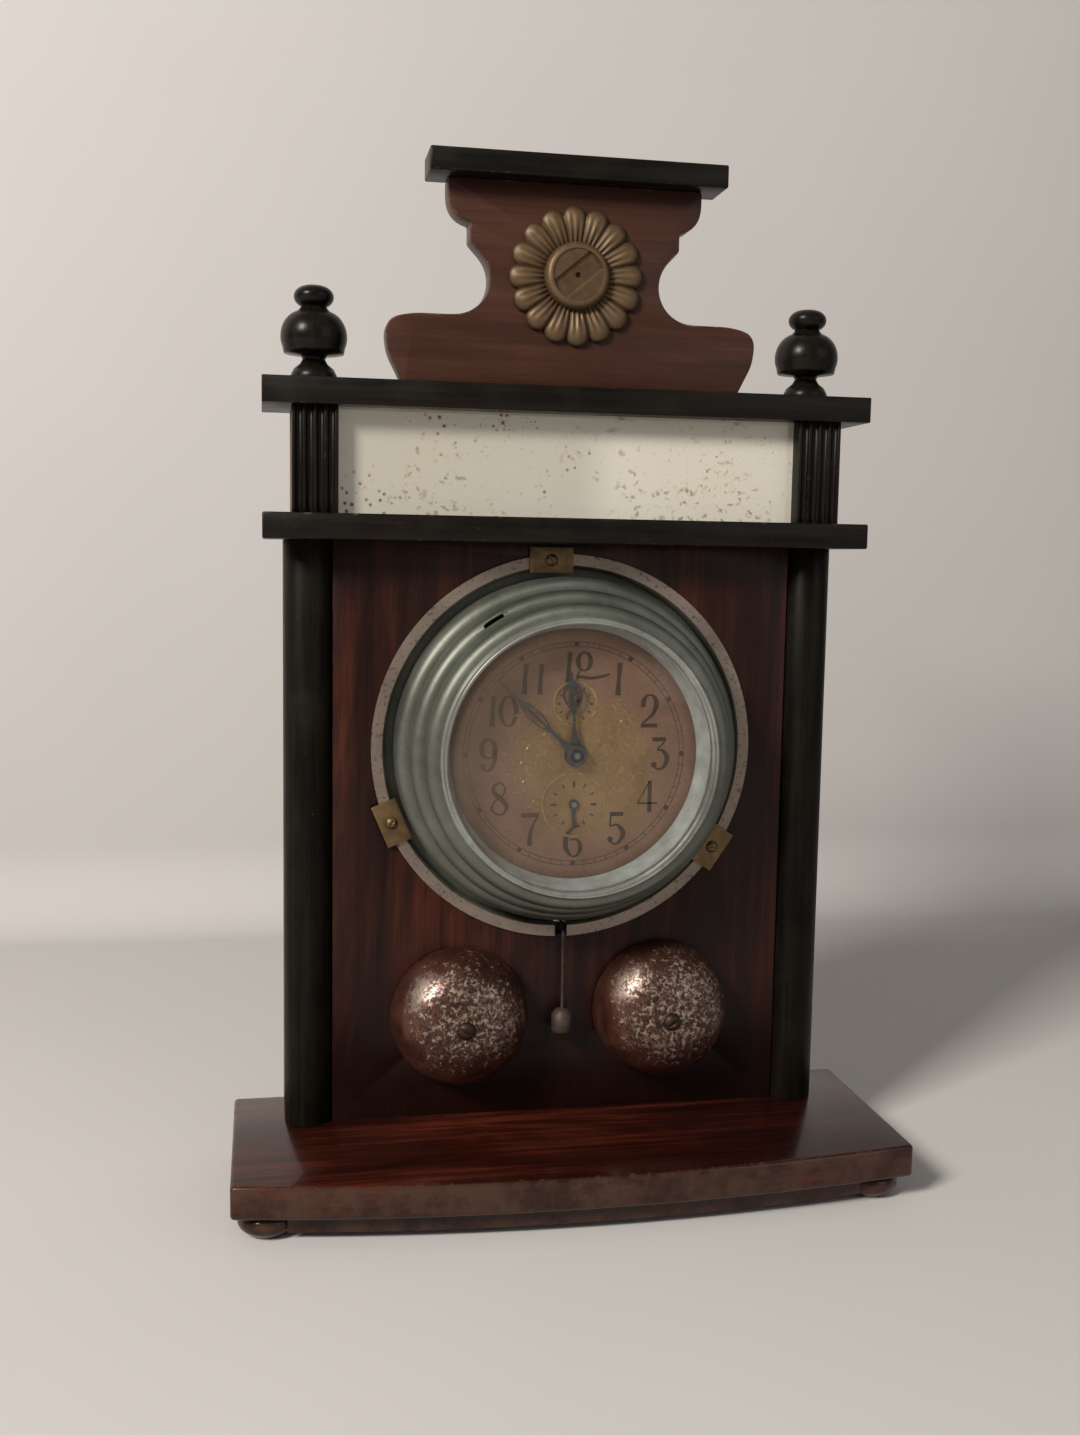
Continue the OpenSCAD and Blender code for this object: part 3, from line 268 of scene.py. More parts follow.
def ebonised(name, axis, shift=(0, 0, 0), gloss=0.3, shine=0.16):
    """Black-stained wood: faint grain, a greenish bloom, brown wood showing at worn edges."""
    g = Graph(name, Specular_IOR_Level=shine)
    grain = g.noise(g.stretch(along(axis, 0.04), shift), 420, 4, 0.65)
    bloom = g.noise(g.shifted(shift), 45, 4, 0.6)
    colour = g.ramp(grain, [(0.35, (0.003, 0.0023, 0.0015)), (0.65, (0.0105, 0.008, 0.005))])
    colour = g.mix(g.ramp(bloom, [(0.5, 0.0), (0.75, 0.35)]), colour, (0.022, 0.02, 0.013))
    flake = g.ramp(g.noise(g.coord, 300, 6, 0.75), [(0.58, 0.0), (0.64, 1.0)])
    chip = g.times(g.attribute("edge"), flake)
    speck = g.ramp(g.noise(g.shifted((3, 1, 2)), 700, 2, 0.5), [(0.73, 0.0), (0.77, 1.0)])
    colour = g.mix(g.most(chip, g.times(speck, 0.5)), colour, (0.075, 0.04, 0.022))
    rough = g.add(g.ramp(bloom, [(0.3, gloss), (0.7, gloss + 0.16)]), g.times(chip, 0.3))
    g.bump(grain, 0.06 * MM, 0.5)
    g.bump(g.noise(g.coord, 90, 3), 0.3 * MM, 0.15)
    return g.set(Base_Color=colour, Roughness=rough, Coat_Weight=0.03, Coat_Roughness=0.2)


def plain_wood(name, axis):
    """Unpolished inner softwood with dust and dark pores."""
    g = Graph(name, Specular_IOR_Level=0.2)
    figure = g.noise(g.stretch(along(axis, 0.08)), 60, 4, 0.6, 0.8)
    grain = g.noise(g.stretch(along(axis, 0.03)), 600, 3, 0.6)
    colour = g.ramp(figure, [(0.3, (0.10, 0.055, 0.03)), (0.7, (0.27, 0.17, 0.095))])
    colour = g.mix(g.ramp(grain, [(0.4, 0.5), (0.6, 0.0)]), colour, (0.07, 0.04, 0.022))
    g.bump(grain, 0.15 * MM, 0.5)
    return g.set(Base_Color=colour, Roughness=g.ramp(grain, [(0.3, 0.68), (0.7, 0.85)]))


def old_mirror():
    """Silvered glass with a creamy cast, brown age spots, and ochre clumps that gather low down."""
    g = Graph("old_mirror", Metallic=1.0)
    bottom, top = (corner[2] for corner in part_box("mirror"))
    spots = g.ramp(g.cells(g.coord, 330), [(0.16, 1.0), (0.3, 0.0)])
    spots = g.times(spots, g.ramp(g.noise(g.coord, 26, 3, 0.6), [(0.5, 0.0), (0.58, 1.0)]))
    low = g.times(g.less(top, g.axis("Z")), 0.1 / (top - bottom))
    gathered = g.add(g.noise(g.shifted((0.02, 0, 0.07)), 36, 3, 0.6), low)
    clumps = g.ramp(g.noise(g.coord, 380, 5, 0.7), [(0.565, 0.0), (0.605, 0.8)])
    clumps = g.times(clumps, g.ramp(gathered, [(0.57, 0.0), (0.64, 1.0)]))
    fine = g.ramp(g.noise(g.coord, 900, 3, 0.6), [(0.62, 0.0), (0.68, 1.0)])
    fine = g.times(fine, g.ramp(g.noise(g.shifted((5, 2, 1)), 34, 4), [(0.5, 0.0), (0.62, 1.0)]))
    lost = g.most(spots, fine, clumps)
    cream = g.ramp(g.noise(g.coord, 14, 2), [(0.3, (0.93, 0.86, 0.715)), (0.7, (0.96, 0.92, 0.795))])
    brown = g.ramp(g.noise(g.coord, 500), [(0.35, (0.17, 0.105, 0.05)), (0.65, (0.42, 0.29, 0.155))])
    g.bump(g.noise(g.coord, 18, 2), 0.6 * MM, 0.05)
    veil = g.ramp(g.axis("X"), [(0.0, 0.5), (0.02, 0.26)], True)
    silver = g.times(g.less(1.0, lost), veil)
    return g.set(Base_Color=g.mix(lost, cream, brown), Metallic=silver,
                 Roughness=g.add(g.times(lost, 0.5), 0.06))


def old_gilt():
    """Gilt carving gone a dull brown, with patchy dirt, painted shade in its hollows and a painted highlight
    on its raised tips.
    """
    g = Graph("old_gilt", Metallic=0.4)
    grime = g.noise(g.coord, 260, 5, 0.65)
    bloom = g.noise(g.coord, 55, 4, 0.6)
    # The ridge values paint shade into the hollows and a highlight onto the tips; the noise is dirt
    tone = g.add(g.times(g.attribute("ridge_shade"), 0.62), g.times(grime, 0.35))
    colour = g.ramp(tone, [(0.08, (0.02, 0.0105, 0.0055)), (0.42, (0.09, 0.051, 0.022)),
                           (0.9, (0.215, 0.137, 0.066))])
    colour = g.mix(g.ramp(bloom, [(0.5, 0.0), (0.7, 0.35)]), colour, (0.125, 0.082, 0.052))
    g.bump(grime, 0.1 * MM, 0.45)
    return g.set(Base_Color=colour, Roughness=g.ramp(grime, [(0.3, 0.4), (0.7, 0.58)]))


def spun_metal(name, shade, flange, rough):
    """Spun and tarnished nickel: turning lines round the axis, patches, a worn flange with spots, and
    painted shade in the groove beside the flange.
    """
    g = Graph(name, Metallic=0.75)
    r = g.radius(DIAL_X, DIAL_Z)
    lines = g.noise(g.node("CombineXYZ", X=r, Y=g.axis("Y")).outputs[0], 2200, 3, 0.6)
    patch = g.noise(g.coord, 30, 5, 0.62, 0.6)
    fine = g.noise(g.coord, 420, 4, 0.6)
    colour = g.ramp(patch, [(0.3, scaled(shade, 0.7)), (0.7, scaled(shade, 1.25))])
    colour = g.mix(g.ramp(fine, [(0.55, 0.0), (0.75, 0.4)]), colour, (0.09, 0.08, 0.055))
    outside = g.ramp(g.tenths(r), [(FLANGE_IN * 10 - 0.012, 0.0), (FLANGE_IN * 10 - 0.006, 1.0)])
    on_flange = g.times(outside, g.ramp(g.forward(), [(0.4, 0.0), (0.8, 1.0)]))
    # Painted shade: the groove behind this depth is darkened, as it lies in shade
    groove = g.ramp(g.tenths(g.axis("Y")), [(GROOVE_Y * 10 - 0.02, 0.0), (GROOVE_Y * 10 + 0.01, 1.0)])
    colour = g.mix(g.times(groove, 0.3), colour, (0.02, 0.017, 0.012))
    spots = g.ramp(g.noise(g.coord, 700, 4, 0.65), [(0.57, 0.0), (0.66, 1.0)])
    aged = g.ramp(patch, [(0.3, scaled(flange, 0.62)), (0.72, flange)])
    colour = g.mix(on_flange, colour, g.mix(g.times(spots, 0.75), aged, (0.07, 0.04, 0.028)))
    g.bump(lines, 0.03 * MM, 0.35)
    g.bump(fine, 0.05 * MM, 0.25)
    return g.set(Base_Color=colour, Roughness=g.ramp(patch, [(0.3, rough), (0.7, rough + 0.14)]),
                 Anisotropic=0.4)


# Plain metals: colour, roughness, metallic share, and scale of the patches
METALS = {
    "bevel_metal": ((0.9, 0.97, 0.98), 0.4, 0.12, 90),
    "cover_metal": ((0.36, 0.33, 0.26), 0.42, 1.0, 60),
    "clip_metal": ((0.22, 0.14, 0.07), 0.45, 0.85, 200),
    "screw_metal": ((0.22, 0.15, 0.075), 0.4, 0.9, 500),
    "dial_gilt": ((0.62, 0.42, 0.2), 0.36, 0.8, 500),
    "gong_screw_metal": ((0.07, 0.042, 0.028), 0.48, 0.8, 500),
    "post_metal": ((0.3, 0.29, 0.27), 0.4, 1.0, 200),
    "hammer_metal": ((0.1, 0.07, 0.058), 0.55, 0.5, 260),
    "movement_brass": ((0.55, 0.40, 0.17), 0.34, 1.0, 160),
    "movement_steel": ((0.40, 0.40, 0.40), 0.32, 1.0, 260),
    "hand_metal": ((0.15, 0.155, 0.17), 0.36, 0.9, 420),
}


def sheet_metal(name):
    """Plain sheet or turned metal with patches of tarnish and fine scratches."""
    shade, rough, metallic, scale = METALS[name]
    g = Graph(name, Metallic=metallic)
    patch = g.noise(g.coord, scale, 5, 0.62)
    scratch = g.noise(g.stretch((1, 1, 0.08), turn=(0.3, 0.5, 0.2)), scale * 9, 3, 0.6)
    colour = g.ramp(patch, [(0.3, scaled(shade, 0.55)), (0.7, shade)])
    g.bump(scratch, 0.03 * MM, 0.3)
    return g.set(Base_Color=colour, Roughness=g.ramp(scratch, [(0.3, rough - 0.06), (0.7, rough + 0.14)]))


def dial_face():
    """Copper-pink lacquer, a gilt middle that spreads to the lower right, and painted shade darkening its
    edge under the bezel.
    """
    g = Graph("dial_face", Metallic=0.3)
    patch = g.noise(g.coord, 60, 5, 0.6, 0.5)
    fine = g.noise(g.coord, 900, 3, 0.6)
    pink = g.ramp(patch, [(0.3, (0.31, 0.163, 0.11)), (0.7, (0.45, 0.256, 0.183))])
    gold = g.ramp(patch, [(0.3, (0.35, 0.19, 0.088)), (0.7, (0.54, 0.335, 0.18))])
    middle = g.add(g.tenths(g.radius(DIAL_X + 5 * MM, DIAL_Z - 6 * MM)), g.sway(patch, 0.14))
    colour = g.mix(g.ramp(middle, [(0.2, 1.0), (0.3, 0.0)]), pink, gold)
    # Painted shade: the edge under the bevel ring and bezel is darkened
    edge = g.add(g.tenths(g.radius(DIAL_X, DIAL_Z)), g.sway(fine, 0.03))
    colour = g.mix(g.ramp(edge, [(0.42, 0.0), (0.46, 0.55)]), colour, (0.10, 0.055, 0.03))
    colour = g.mix(g.ramp(fine, [(0.5, 0.0), (0.8, 0.4)]), colour, (0.13, 0.065, 0.04))
    g.bump(fine, 0.03 * MM, 0.4)
    return g.set(Base_Color=colour, Roughness=g.ramp(patch, [(0.3, 0.42), (0.7, 0.58)]))


def hazy_glass():
    """Thin domed glass: clear, with a brownish film that thickens to the left, partly dirt and partly a
    painted reflection, shiny at its rim.
    """
    g = Graph("hazy_glass")
    g.nodes.remove(g.bsdf)
    clear = g.node("BsdfTransparent", Color=(0.95, 0.965, 0.955)).outputs[0]
    film = g.node("BsdfDiffuse", Color=(0.27, 0.2, 0.15)).outputs[0]
    gloss = g.node("BsdfGlossy", Roughness=0.06).outputs[0]
    # The film on the left is partly dirt and partly a painted reflection, a veil over the dial
    left = g.add(g.times(g.axis("X"), -9.0), g.times(g.noise(g.coord, 34, 4, 0.6), 0.6))
    haze = g.ramp(left, [(0.25, 0.01), (0.75, 0.16)], True)
    rim = g.ramp(g.node("LayerWeight", Blend=0.22).outputs["Fresnel"], [(0.0, 0.01), (1.0, 0.55)])
    g.put(g.out.inputs[0], g.blend(rim, g.blend(haze, clear, film), gloss))
    return g.mat


def rusted_gong(name, shift, bare_from):
    """Plated steel gone to smooth red-brown rust, speckled with bare metal and pits over the crown, with a
    pale painted highlight on the upper left.
    """
    g = Graph(name, Metallic=0.6)
    patch = g.noise(g.shifted(shift), 70, 5, 0.6, 0.5)
    grit = g.noise(g.shifted(shift), 470, 5, 0.74, 0.3)
    front = g.most(g.forward(), 0.0)
    slope = g.add(g.times(g.normal("Z"), 0.07), g.times(g.normal("X"), 0.05))
    crown = g.add(g.times(g.calc("POWER", front, 2.0), 0.2), slope, g.sway(patch, 0.3))
    bare = g.ramp(g.add(grit, crown), [(bare_from, 0.0), (bare_from + 0.05, 1.0)])
    rust = g.ramp(patch, [(0.3, (0.045, 0.014, 0.0095)), (0.5, (0.1, 0.034, 0.023)),
                          (0.72, (0.17, 0.066, 0.043))])
    metal = g.ramp(grit, [(0.47, (0.15, 0.1, 0.072)), (0.7, (0.58, 0.45, 0.345))])
    pits = g.ramp(g.noise(g.shifted(shift), 820, 3, 0.62), [(0.5, 0.0), (0.56, 1.0)])
    pits = g.times(pits, g.ramp(crown, [(0.02, 0.15), (0.16, 1.0)]))
    # Painted highlight: a pale patch on the faces that look up and to the left, towards the lamp
    upper_left = g.add(g.times(g.normal("X"), -0.56), g.times(g.normal("Z"), 0.5), g.times(front, 0.66))
    shine = g.ramp(g.add(upper_left, g.sway(grit, 0.2)), [(0.93, 0.0), (1.0, 0.55)], True)
    colour = g.mix(shine, g.mix(bare, rust, metal), (0.5, 0.4, 0.33))
    colour = g.mix(g.times(pits, 0.9), colour, (0.018, 0.0075, 0.005))
    rough = g.add(g.ramp(patch, [(0.3, 0.32), (0.7, 0.44)]), g.times(pits, 0.25))
    g.bump(grit, 0.1 * MM, 0.35)
    g.bump(pits, -0.08 * MM, 0.5)
    return g.set(Base_Color=colour, Roughness=rough, Coat_Weight=0.35, Coat_Roughness=0.22)


def ink(name, shade):
    """Printed lacquer, thin in places."""
    g = Graph(name)
    fine = g.noise(g.coord, 1500, 3, 0.6)
    return g.set(Base_Color=g.ramp(fine, [(0.3, shade), (0.75, scaled(shade, 2.2))]),
                 Roughness=g.ramp(fine, [(0.3, 0.4), (0.7, 0.6)]))


def stage_paint(name, shade, variation, bounce):
    """Pale matt paint, see-through from behind, that sends less light back to the clock than it shows."""
    g = Graph(name, Roughness=0.8, Specular_IOR_Level=0.15)
    mottled = g.ramp(g.noise(g.coord, 3, 3), [(0.3, scaled(shade, 1 - variation)), (0.7, shade)])
    ray = g.node("LightPath").outputs
    seen = g.most(ray["Is Camera Ray"], ray["Is Glossy Ray"], ray["Is Transmission Ray"])
    g.set(Base_Color=g.mix(seen, scaled(shade, bounce), mottled))
    behind = g.node("NewGeometry").outputs["Backfacing"]
    clear = g.node("BsdfTransparent").outputs[0]
    g.put(g.out.inputs[0], g.blend(behind, g.bsdf.outputs[0], clear))
    return g.mat


# Mesh helpers

# Edges sharper than this are softened
SHARP_EDGE = math.radians(35)
# Fairing of an outline: spacing of its points, turns that stay corners, and passes of smoothing
OUTLINE_PITCH = 1.0 * MM
OUTLINE_CORNER = math.radians(32)
FAIRING_PASSES = 8


def new_object(name, bm, material, body, smooth_angle=None):
    """Makes an object from a bmesh, and hands it to its body and slot."""
    mesh = bpy.data.meshes.new(name)
    bm.to_mesh(mesh)
    bm.free()
    obj = bpy.data.objects.new(name, mesh)
    bpy.context.scene.collection.objects.link(obj)
    mesh.materials.append(material)
    if smooth_angle is not None:
        mesh.shade_smooth()
        mesh.set_sharp_from_angle(angle=math.radians(smooth_angle))
    if body:
        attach(obj, body)
    return obj


def node_body(node):
    """Name of the body that a node belongs to."""
    bodies = frame["record"]["behaviour"]["bodies"]
    return next(body for body, nodes in bodies.items() if node in nodes)


def clean_copy(node):
    """A welded copy of a node's mesh with its flat faces merged."""
    bm = bmesh.new()
    bm.from_mesh(frame["nodes"][node].data)
    bm.transform(frame["nodes"][node].matrix_world)
    bmesh.ops.remove_doubles(bm, verts=bm.verts, dist=1e-6)
    bmesh.ops.dissolve_limit(bm, angle_limit=math.radians(0.6), verts=bm.verts, edges=bm.edges)
    bmesh.ops.recalc_face_normals(bm, faces=bm.faces)
    return bm


def even_points(run, pitch):
    """The same line with its points set about one pitch apart."""
    lengths = [(b - a).length for a, b in zip(run, run[1:])]
    count = max(round(sum(lengths) / pitch), 1)
    out, k, passed = [], 0, 0.0
    for i in range(count):
        place = sum(lengths) * i / count
        while passed + lengths[k] < place:
            passed += lengths[k]
            k += 1
        out.append(run[k].lerp(run[k + 1], (place - passed) / lengths[k]))
    return [*out, run[-1]]


def faired_board(node):
    """A board drawn anew from its outline, with the kinks between its curves eased; its corners stay."""
    bm = clean_copy(node)
    face = max(bm.faces, key=lambda f: -f.normal.y * f.calc_area())
    outline = [Vector((v.co.x, v.co.z)) for v in face.verts]
    depths = min(v.co.y for v in bm.verts), max(v.co.y for v in bm.verts)
    count = len(outline)
    sides = [outline[(i + 1) % count] - outline[i] for i in range(count)]
    corners = [i for i in range(count) if sides[i - 1].angle(sides[i]) > OUTLINE_CORNER]
    faired = []
    for start, end in zip(corners, [*corners[1:], corners[0] + count]):
        run = even_points([outline[i % count] for i in range(start, end + 1)], OUTLINE_PITCH)
        for _ in range(FAIRING_PASSES):
            run = [run[0], *(b / 2 + (a + c) / 4 for a, b, c in zip(run, run[1:], run[2:])), run[-1]]
        faired += run[:-1]
    bm.clear()
    front, back = ([bm.verts.new((p.x, y, p.y)) for p in faired] for y in depths)
    bm.faces.new(front)
    bm.faces.new(back)
    for k in range(len(faired)):
        bm.faces.new((front[k - 1], front[k], back[k], back[k - 1]))
    bmesh.ops.recalc_face_normals(bm, faces=bm.faces)
    return bm


def soften_edges(bm, width, steps):
    """Rounds the sharp edges, and marks the new faces so that the material can show wear there."""
    sharp = [e for e in bm.edges if len(e.link_faces) == 2 and e.calc_face_angle(0) > SHARP_EDGE]
    made = bmesh.ops.bevel(bm, geom=sharp, offset=width, segments=steps, profile=0.5, affect="EDGES",
                           clamp_overlap=True)
    rounded = set(made["faces"])
    layer = bm.loops.layers.float_color.new("edge")
    for face in bm.faces:
        value = 1.0 if face in rounded else 0.0
        for loop in face.loops:
            loop[layer] = (value, value, value, 1.0)


def dress(node, material, soften=0.0, steps=2, smooth_angle=32, copy=clean_copy):
    """Shows a node through a copy with smooth shading and, if asked, softened edges."""
    bm = copy(node)
    if soften:
        soften_edges(bm, soften, steps)
    obj = new_object(node + "_look", bm, material, node_body(node), smooth_angle)
    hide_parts(node)


def paint(node, material):
    """Gives a node of the frame its material."""
    data = frame["nodes"][node].data
    data.materials.clear()
    data.materials.append(material)


def smooth_path(points, per=8):
    """Catmull-Rom curve through (x, z, width) places."""
    ends = [points[0], *points, points[-1]]
    out = []
    for i in range(1, len(ends) - 2):
        for k in range(per):
            t = k / per
            out.append(tuple(0.5 * (2 * b + (c - a) * t + (2 * a - 5 * b + 4 * c - d) * t * t
                                    + (3 * b - a - 3 * c + d) * t ** 3)
                             for a, b, c, d in zip(*ends[i - 1:i + 3])))
    return [*out, points[-1]]


def ribbon(bm, points, y, lift=0.0):
    """A flat stroke in the dial's plane through (x, z, width) places; a lift raises its middle."""
    rows = []
    for i, (x, z, width) in enumerate(points):
        before, after = points[max(i - 1, 0)], points[min(i + 1, len(points) - 1)]
        way = Vector((after[0] - before[0], after[1] - before[1]))
        way = way.normalized() if way.length > 1e-9 else Vector((1, 0))
        side = Vector((-way.y, way.x)) * width / 2
        row = [bm.verts.new((x + side.x, y, z + side.y))]
        if lift:
            row.append(bm.verts.new((x, y - lift, z)))
        row.append(bm.verts.new((x - side.x, y, z - side.y)))
        rows.append(row)
    for a, b in zip(rows, rows[1:]):
        for k in range(len(a) - 1):
            bm.faces.new((a[k], a[k + 1], b[k + 1], b[k]))


def round_point(x, z, r, a):
    """The point at radius r and angle a, in radians, round a centre in the dial's plane."""
    return x + r * math.cos(a), z + r * math.sin(a)


def disc(bm, x, z, r, y, n=20):
    """A flat dot in the dial's plane."""
    rim = [round_point(x, z, r, WHOLE_TURN * i / n) for i in range(n)]
    bm.faces.new([bm.verts.new((px, y, pz)) for px, pz in rim])


def ring_path(x, z, r, width, start=0.0, end=360.0, n=96):
    """Places for a ribbon round a circle, from one angle to another in degrees."""
    return [(*round_point(x, z, r, math.radians(start + (end - start) * i / n)), width)
            for i in range(n + 1)]


# Dial print: flat pieces just clear of the dial, or of the floor of its two small dials

PRINT_Y = DIAL_FACE - 0.03 * MM
SMALL_PRINT_Y = PRINT_Y + 0.2 * MM
# Balls and dots lie clear of the strokes that they touch
BALL_Y, DOT_Y = PRINT_Y - 0.005 * MM, PRINT_Y - 0.01 * MM
FIGURE_HEIGHT, FIGURE_REACH = 12.4 * MM, 31.8 * MM
# Two figures side by side are a little smaller, and stand this far apart as a share of the height
PAIR_HEIGHT, PAIR_PITCH, TWELVE_PITCH = 0.94, 0.46, 0.44
TRACK_IN, TRACK_OUT, TRACK_LINE = 39.4 * MM, 41.0 * MM, 0.24 * MM
HOUR_DOT_REACH, HOUR_DOT_R = 40.2 * MM, 0.95 * MM
# The small dials: their distance from the dial's middle, where their marks begin and end, and the
# widths of the marks, of which every third is a main one
SMALL_DIAL_PITCH = 18.5 * MM
SECONDS_MAIN_IN, SECONDS_IN, SECONDS_OUT = 6.4 * MM, 7.0 * MM, 8.6 * MM
ALARM_IN, ALARM_OUT = 5.4 * MM, 6.6 * MM
MAIN_MARK, MARK = 0.8 * MM, 0.5 * MM


def oval(cx, cy, rx, ry, start=0, end=360, n=28):
    """Stroke round an oval, thick at its sides and thin at top and bottom."""
    thick, thin = 0.15, 0.05
    out = []
    for i in range(n + 1):
        a = math.radians(start + (end - start) * i / n)
        width = thin + (thick - thin) * abs(math.cos(a)) ** 1.5
        out.append((cx + rx * math.cos(a), cy + ry * math.sin(a), width))
    return out


# Strokes of each figure in units of its height, as (x, height, width)
FIGURES = {
    "0": [oval(0, 0.5, 0.24, 0.46)],
    "1": [[(-0.02, 0.02, 0.17), (0.0, 0.5, 0.12), (0.03, 0.97, 0.16)]],
    "2": [oval(0.02, 0.7, 0.2, 0.27, -50, 200),
          smooth_path([(0.17, 0.5, 0.12), (0.08, 0.36, 0.09), (-0.08, 0.22, 0.06), (-0.2, 0.12, 0.05)]),
          [(-0.24, 0.06, 0.12), (0.26, 0.06, 0.12)]],
    "3": [[(-0.22, 0.93, 0.12), (0.2, 0.93, 0.12)],
          smooth_path([(0.16, 0.86, 0.05), (0.04, 0.74, 0.05), (-0.06, 0.62, 0.05)]),
          smooth_path([(-0.06, 0.62, 0.05), (0.12, 0.58, 0.1), (0.24, 0.36, 0.15), (0.14, 0.1, 0.1),
                       (-0.04, 0.04, 0.06), (-0.18, 0.14, 0.06)])],
    "4": [[(0.08, 0.02, 0.13), (0.08, 0.98, 0.12)], [(-0.3, 0.3, 0.05), (0.32, 0.3, 0.05)],
          [(-0.28, 0.31, 0.04), (0.06, 0.95, 0.04)]],
    "5": [[(-0.18, 0.93, 0.12), (0.22, 0.93, 0.12)], [(-0.15, 0.9, 0.05), (-0.17, 0.58, 0.05)],
          smooth_path([(-0.17, 0.56, 0.05), (0.05, 0.6, 0.08), (0.23, 0.36, 0.15), (0.12, 0.1, 0.1),
                       (-0.04, 0.03, 0.06), (-0.18, 0.13, 0.06)])],
    "6": [smooth_path([(0.2, 0.92, 0.06), (0.02, 0.9, 0.08), (-0.2, 0.62, 0.15), (-0.22, 0.3, 0.15),
                       (-0.04, 0.03, 0.05), (0.14, 0.08, 0.08), (0.22, 0.3, 0.14), (0.12, 0.52, 0.07),
                       (-0.1, 0.52, 0.05)])],
    "7": [[(-0.28, 0.93, 0.13), (0.24, 0.93, 0.13)],
          smooth_path([(0.2, 0.88, 0.05), (0.06, 0.62, 0.08), (-0.02, 0.3, 0.12), (-0.02, 0.02, 0.14)])],
    "8": [smooth_path([(0.14, 0.86, 0.05), (0.0, 0.97, 0.05), (-0.18, 0.84, 0.1), (-0.14, 0.66, 0.14),
                       (0.06, 0.48, 0.15), (0.22, 0.26, 0.13), (0.12, 0.06, 0.06), (-0.06, 0.03, 0.05),
                       (-0.22, 0.2, 0.07), (-0.12, 0.42, 0.05), (0.1, 0.6, 0.05), (0.17, 0.78, 0.06),
                       (0.14, 0.86, 0.05)])],
    "9": [oval(0.0, 0.68, 0.2, 0.28),
          smooth_path([(0.2, 0.66, 0.12), (0.2, 0.4, 0.13), (0.1, 0.12, 0.1), (-0.04, 0.03, 0.06),
                       (-0.16, 0.12, 0.06)])],
    # The second figure of 12, whose foot runs on to the right
    "12b": [oval(0.02, 0.68, 0.2, 0.28),
            smooth_path([(-0.1, 0.42, 0.05), (-0.2, 0.2, 0.07), (-0.04, 0.2, 0.1), (0.2, 0.16, 0.1),
                         (0.62, 0.22, 0.09), (0.84, 0.3, 0.06)])],
}
# Balls that end the tails of some figures, and their radius
BALLS = {"3": (-0.16, 0.17), "5": (-0.16, 0.17), "9": (-0.15, 0.16)}
BALL_R = 0.085


def draw_figure(bm, name, x, z, height):
    """Draws one figure with its middle at (x, z)."""
    for stroke in FIGURES[name]:
        ribbon(bm, [(x + a * height, z + (b - 0.5) * height, w * height) for a, b, w in stroke], PRINT_Y)
    if name in BALLS:
        a, b = BALLS[name]
        disc(bm, x + a * height, z + (b - 0.5) * height, BALL_R * height, BALL_Y)


def draw_hour(bm, hour):
    """Draws an hour's figures and its dot on the track."""
    a = math.radians(90 - 30 * hour)
    x, z = round_point(DIAL_X, DIAL_Z, FIGURE_REACH, a)
    names, pitch = (["1", "12b"], TWELVE_PITCH) if hour == 12 else (list(str(hour)), PAIR_PITCH)
    offset = -pitch / 2 * (len(names) - 1)
    height = FIGURE_HEIGHT * (PAIR_HEIGHT if len(names) > 1 else 1.0)
    for k, name in enumerate(names):
        draw_figure(bm, name, x + (offset + k * pitch) * FIGURE_HEIGHT, z, height)
    disc(bm, *round_point(DIAL_X, DIAL_Z, HOUR_DOT_REACH, a), HOUR_DOT_R, DOT_Y, n=12)


def draw_tick(bm, x, z, a, inner, outer, width, y):
    """Draws a short line that points away from (x, z)."""
    ribbon(bm, [(*round_point(x, z, r, a), width) for r in (inner, outer)], y)


def dial_print():
    """Hour figures, the minute track with its dots, and the small dials' marks."""
    bm = bmesh.new()
    for hour in range(1, 13):
        draw_hour(bm, hour)
    for r in (TRACK_IN, TRACK_OUT):
        ribbon(bm, ring_path(DIAL_X, DIAL_Z, r, TRACK_LINE), PRINT_Y)
    for minute in range(60):
        draw_tick(bm, DIAL_X, DIAL_Z, math.radians(6 * minute), TRACK_IN, TRACK_OUT, TRACK_LINE, PRINT_Y)
    for k in range(12):
        a = math.radians(30 * k)
        width, seconds_in = (MAIN_MARK, SECONDS_MAIN_IN) if k % 3 == 0 else (MARK, SECONDS_IN)
        for side, inner, outer in ((-1, seconds_in, SECONDS_OUT), (1, ALARM_IN, ALARM_OUT)):
            draw_tick(bm, DIAL_X, DIAL_Z + side * SMALL_DIAL_PITCH, a, inner, outer, width, SMALL_PRINT_Y)
    new_object("dial_print", bm, ink("dial_ink", (0.055, 0.034, 0.025)), "case")


# Scrolls on the right half of the dial: x and z from its middle and size, all in mm, then the
# angle where each begins and its sense of turning; the left half mirrors them
SCROLLS = (
    (6.5, 6.0, 3.4, 200, 1), (12.5, 2.4, 3.6, 120, -1), (8.0, -3.0, 2.6, 60, 1),
    (15.5, -4.6, 3.4, 150, 1), (19.5, 4.6, 2.8, 250, -1), (13.8, 9.6, 3.0, 210, 1),
    (16.4, -11.6, 2.8, 100, -1), (21.6, -1.6, 2.2, 180, 1), (12.8, 16.2, 2.6, 240, 1),
    (19.0, 11.0, 2.2, 200, -1), (13.6, -18.6, 2.2, 120, -1), (20.6, -8.6, 2.0, 160, 1))
# Arcs of the ornament: where each begins in degrees, its radius and its width in mm
ARCS = ((12, 9.5, 0.5), (-36, 18.0, 0.45), (8, 24.2, 0.4))
ARC_SWEEP = 48
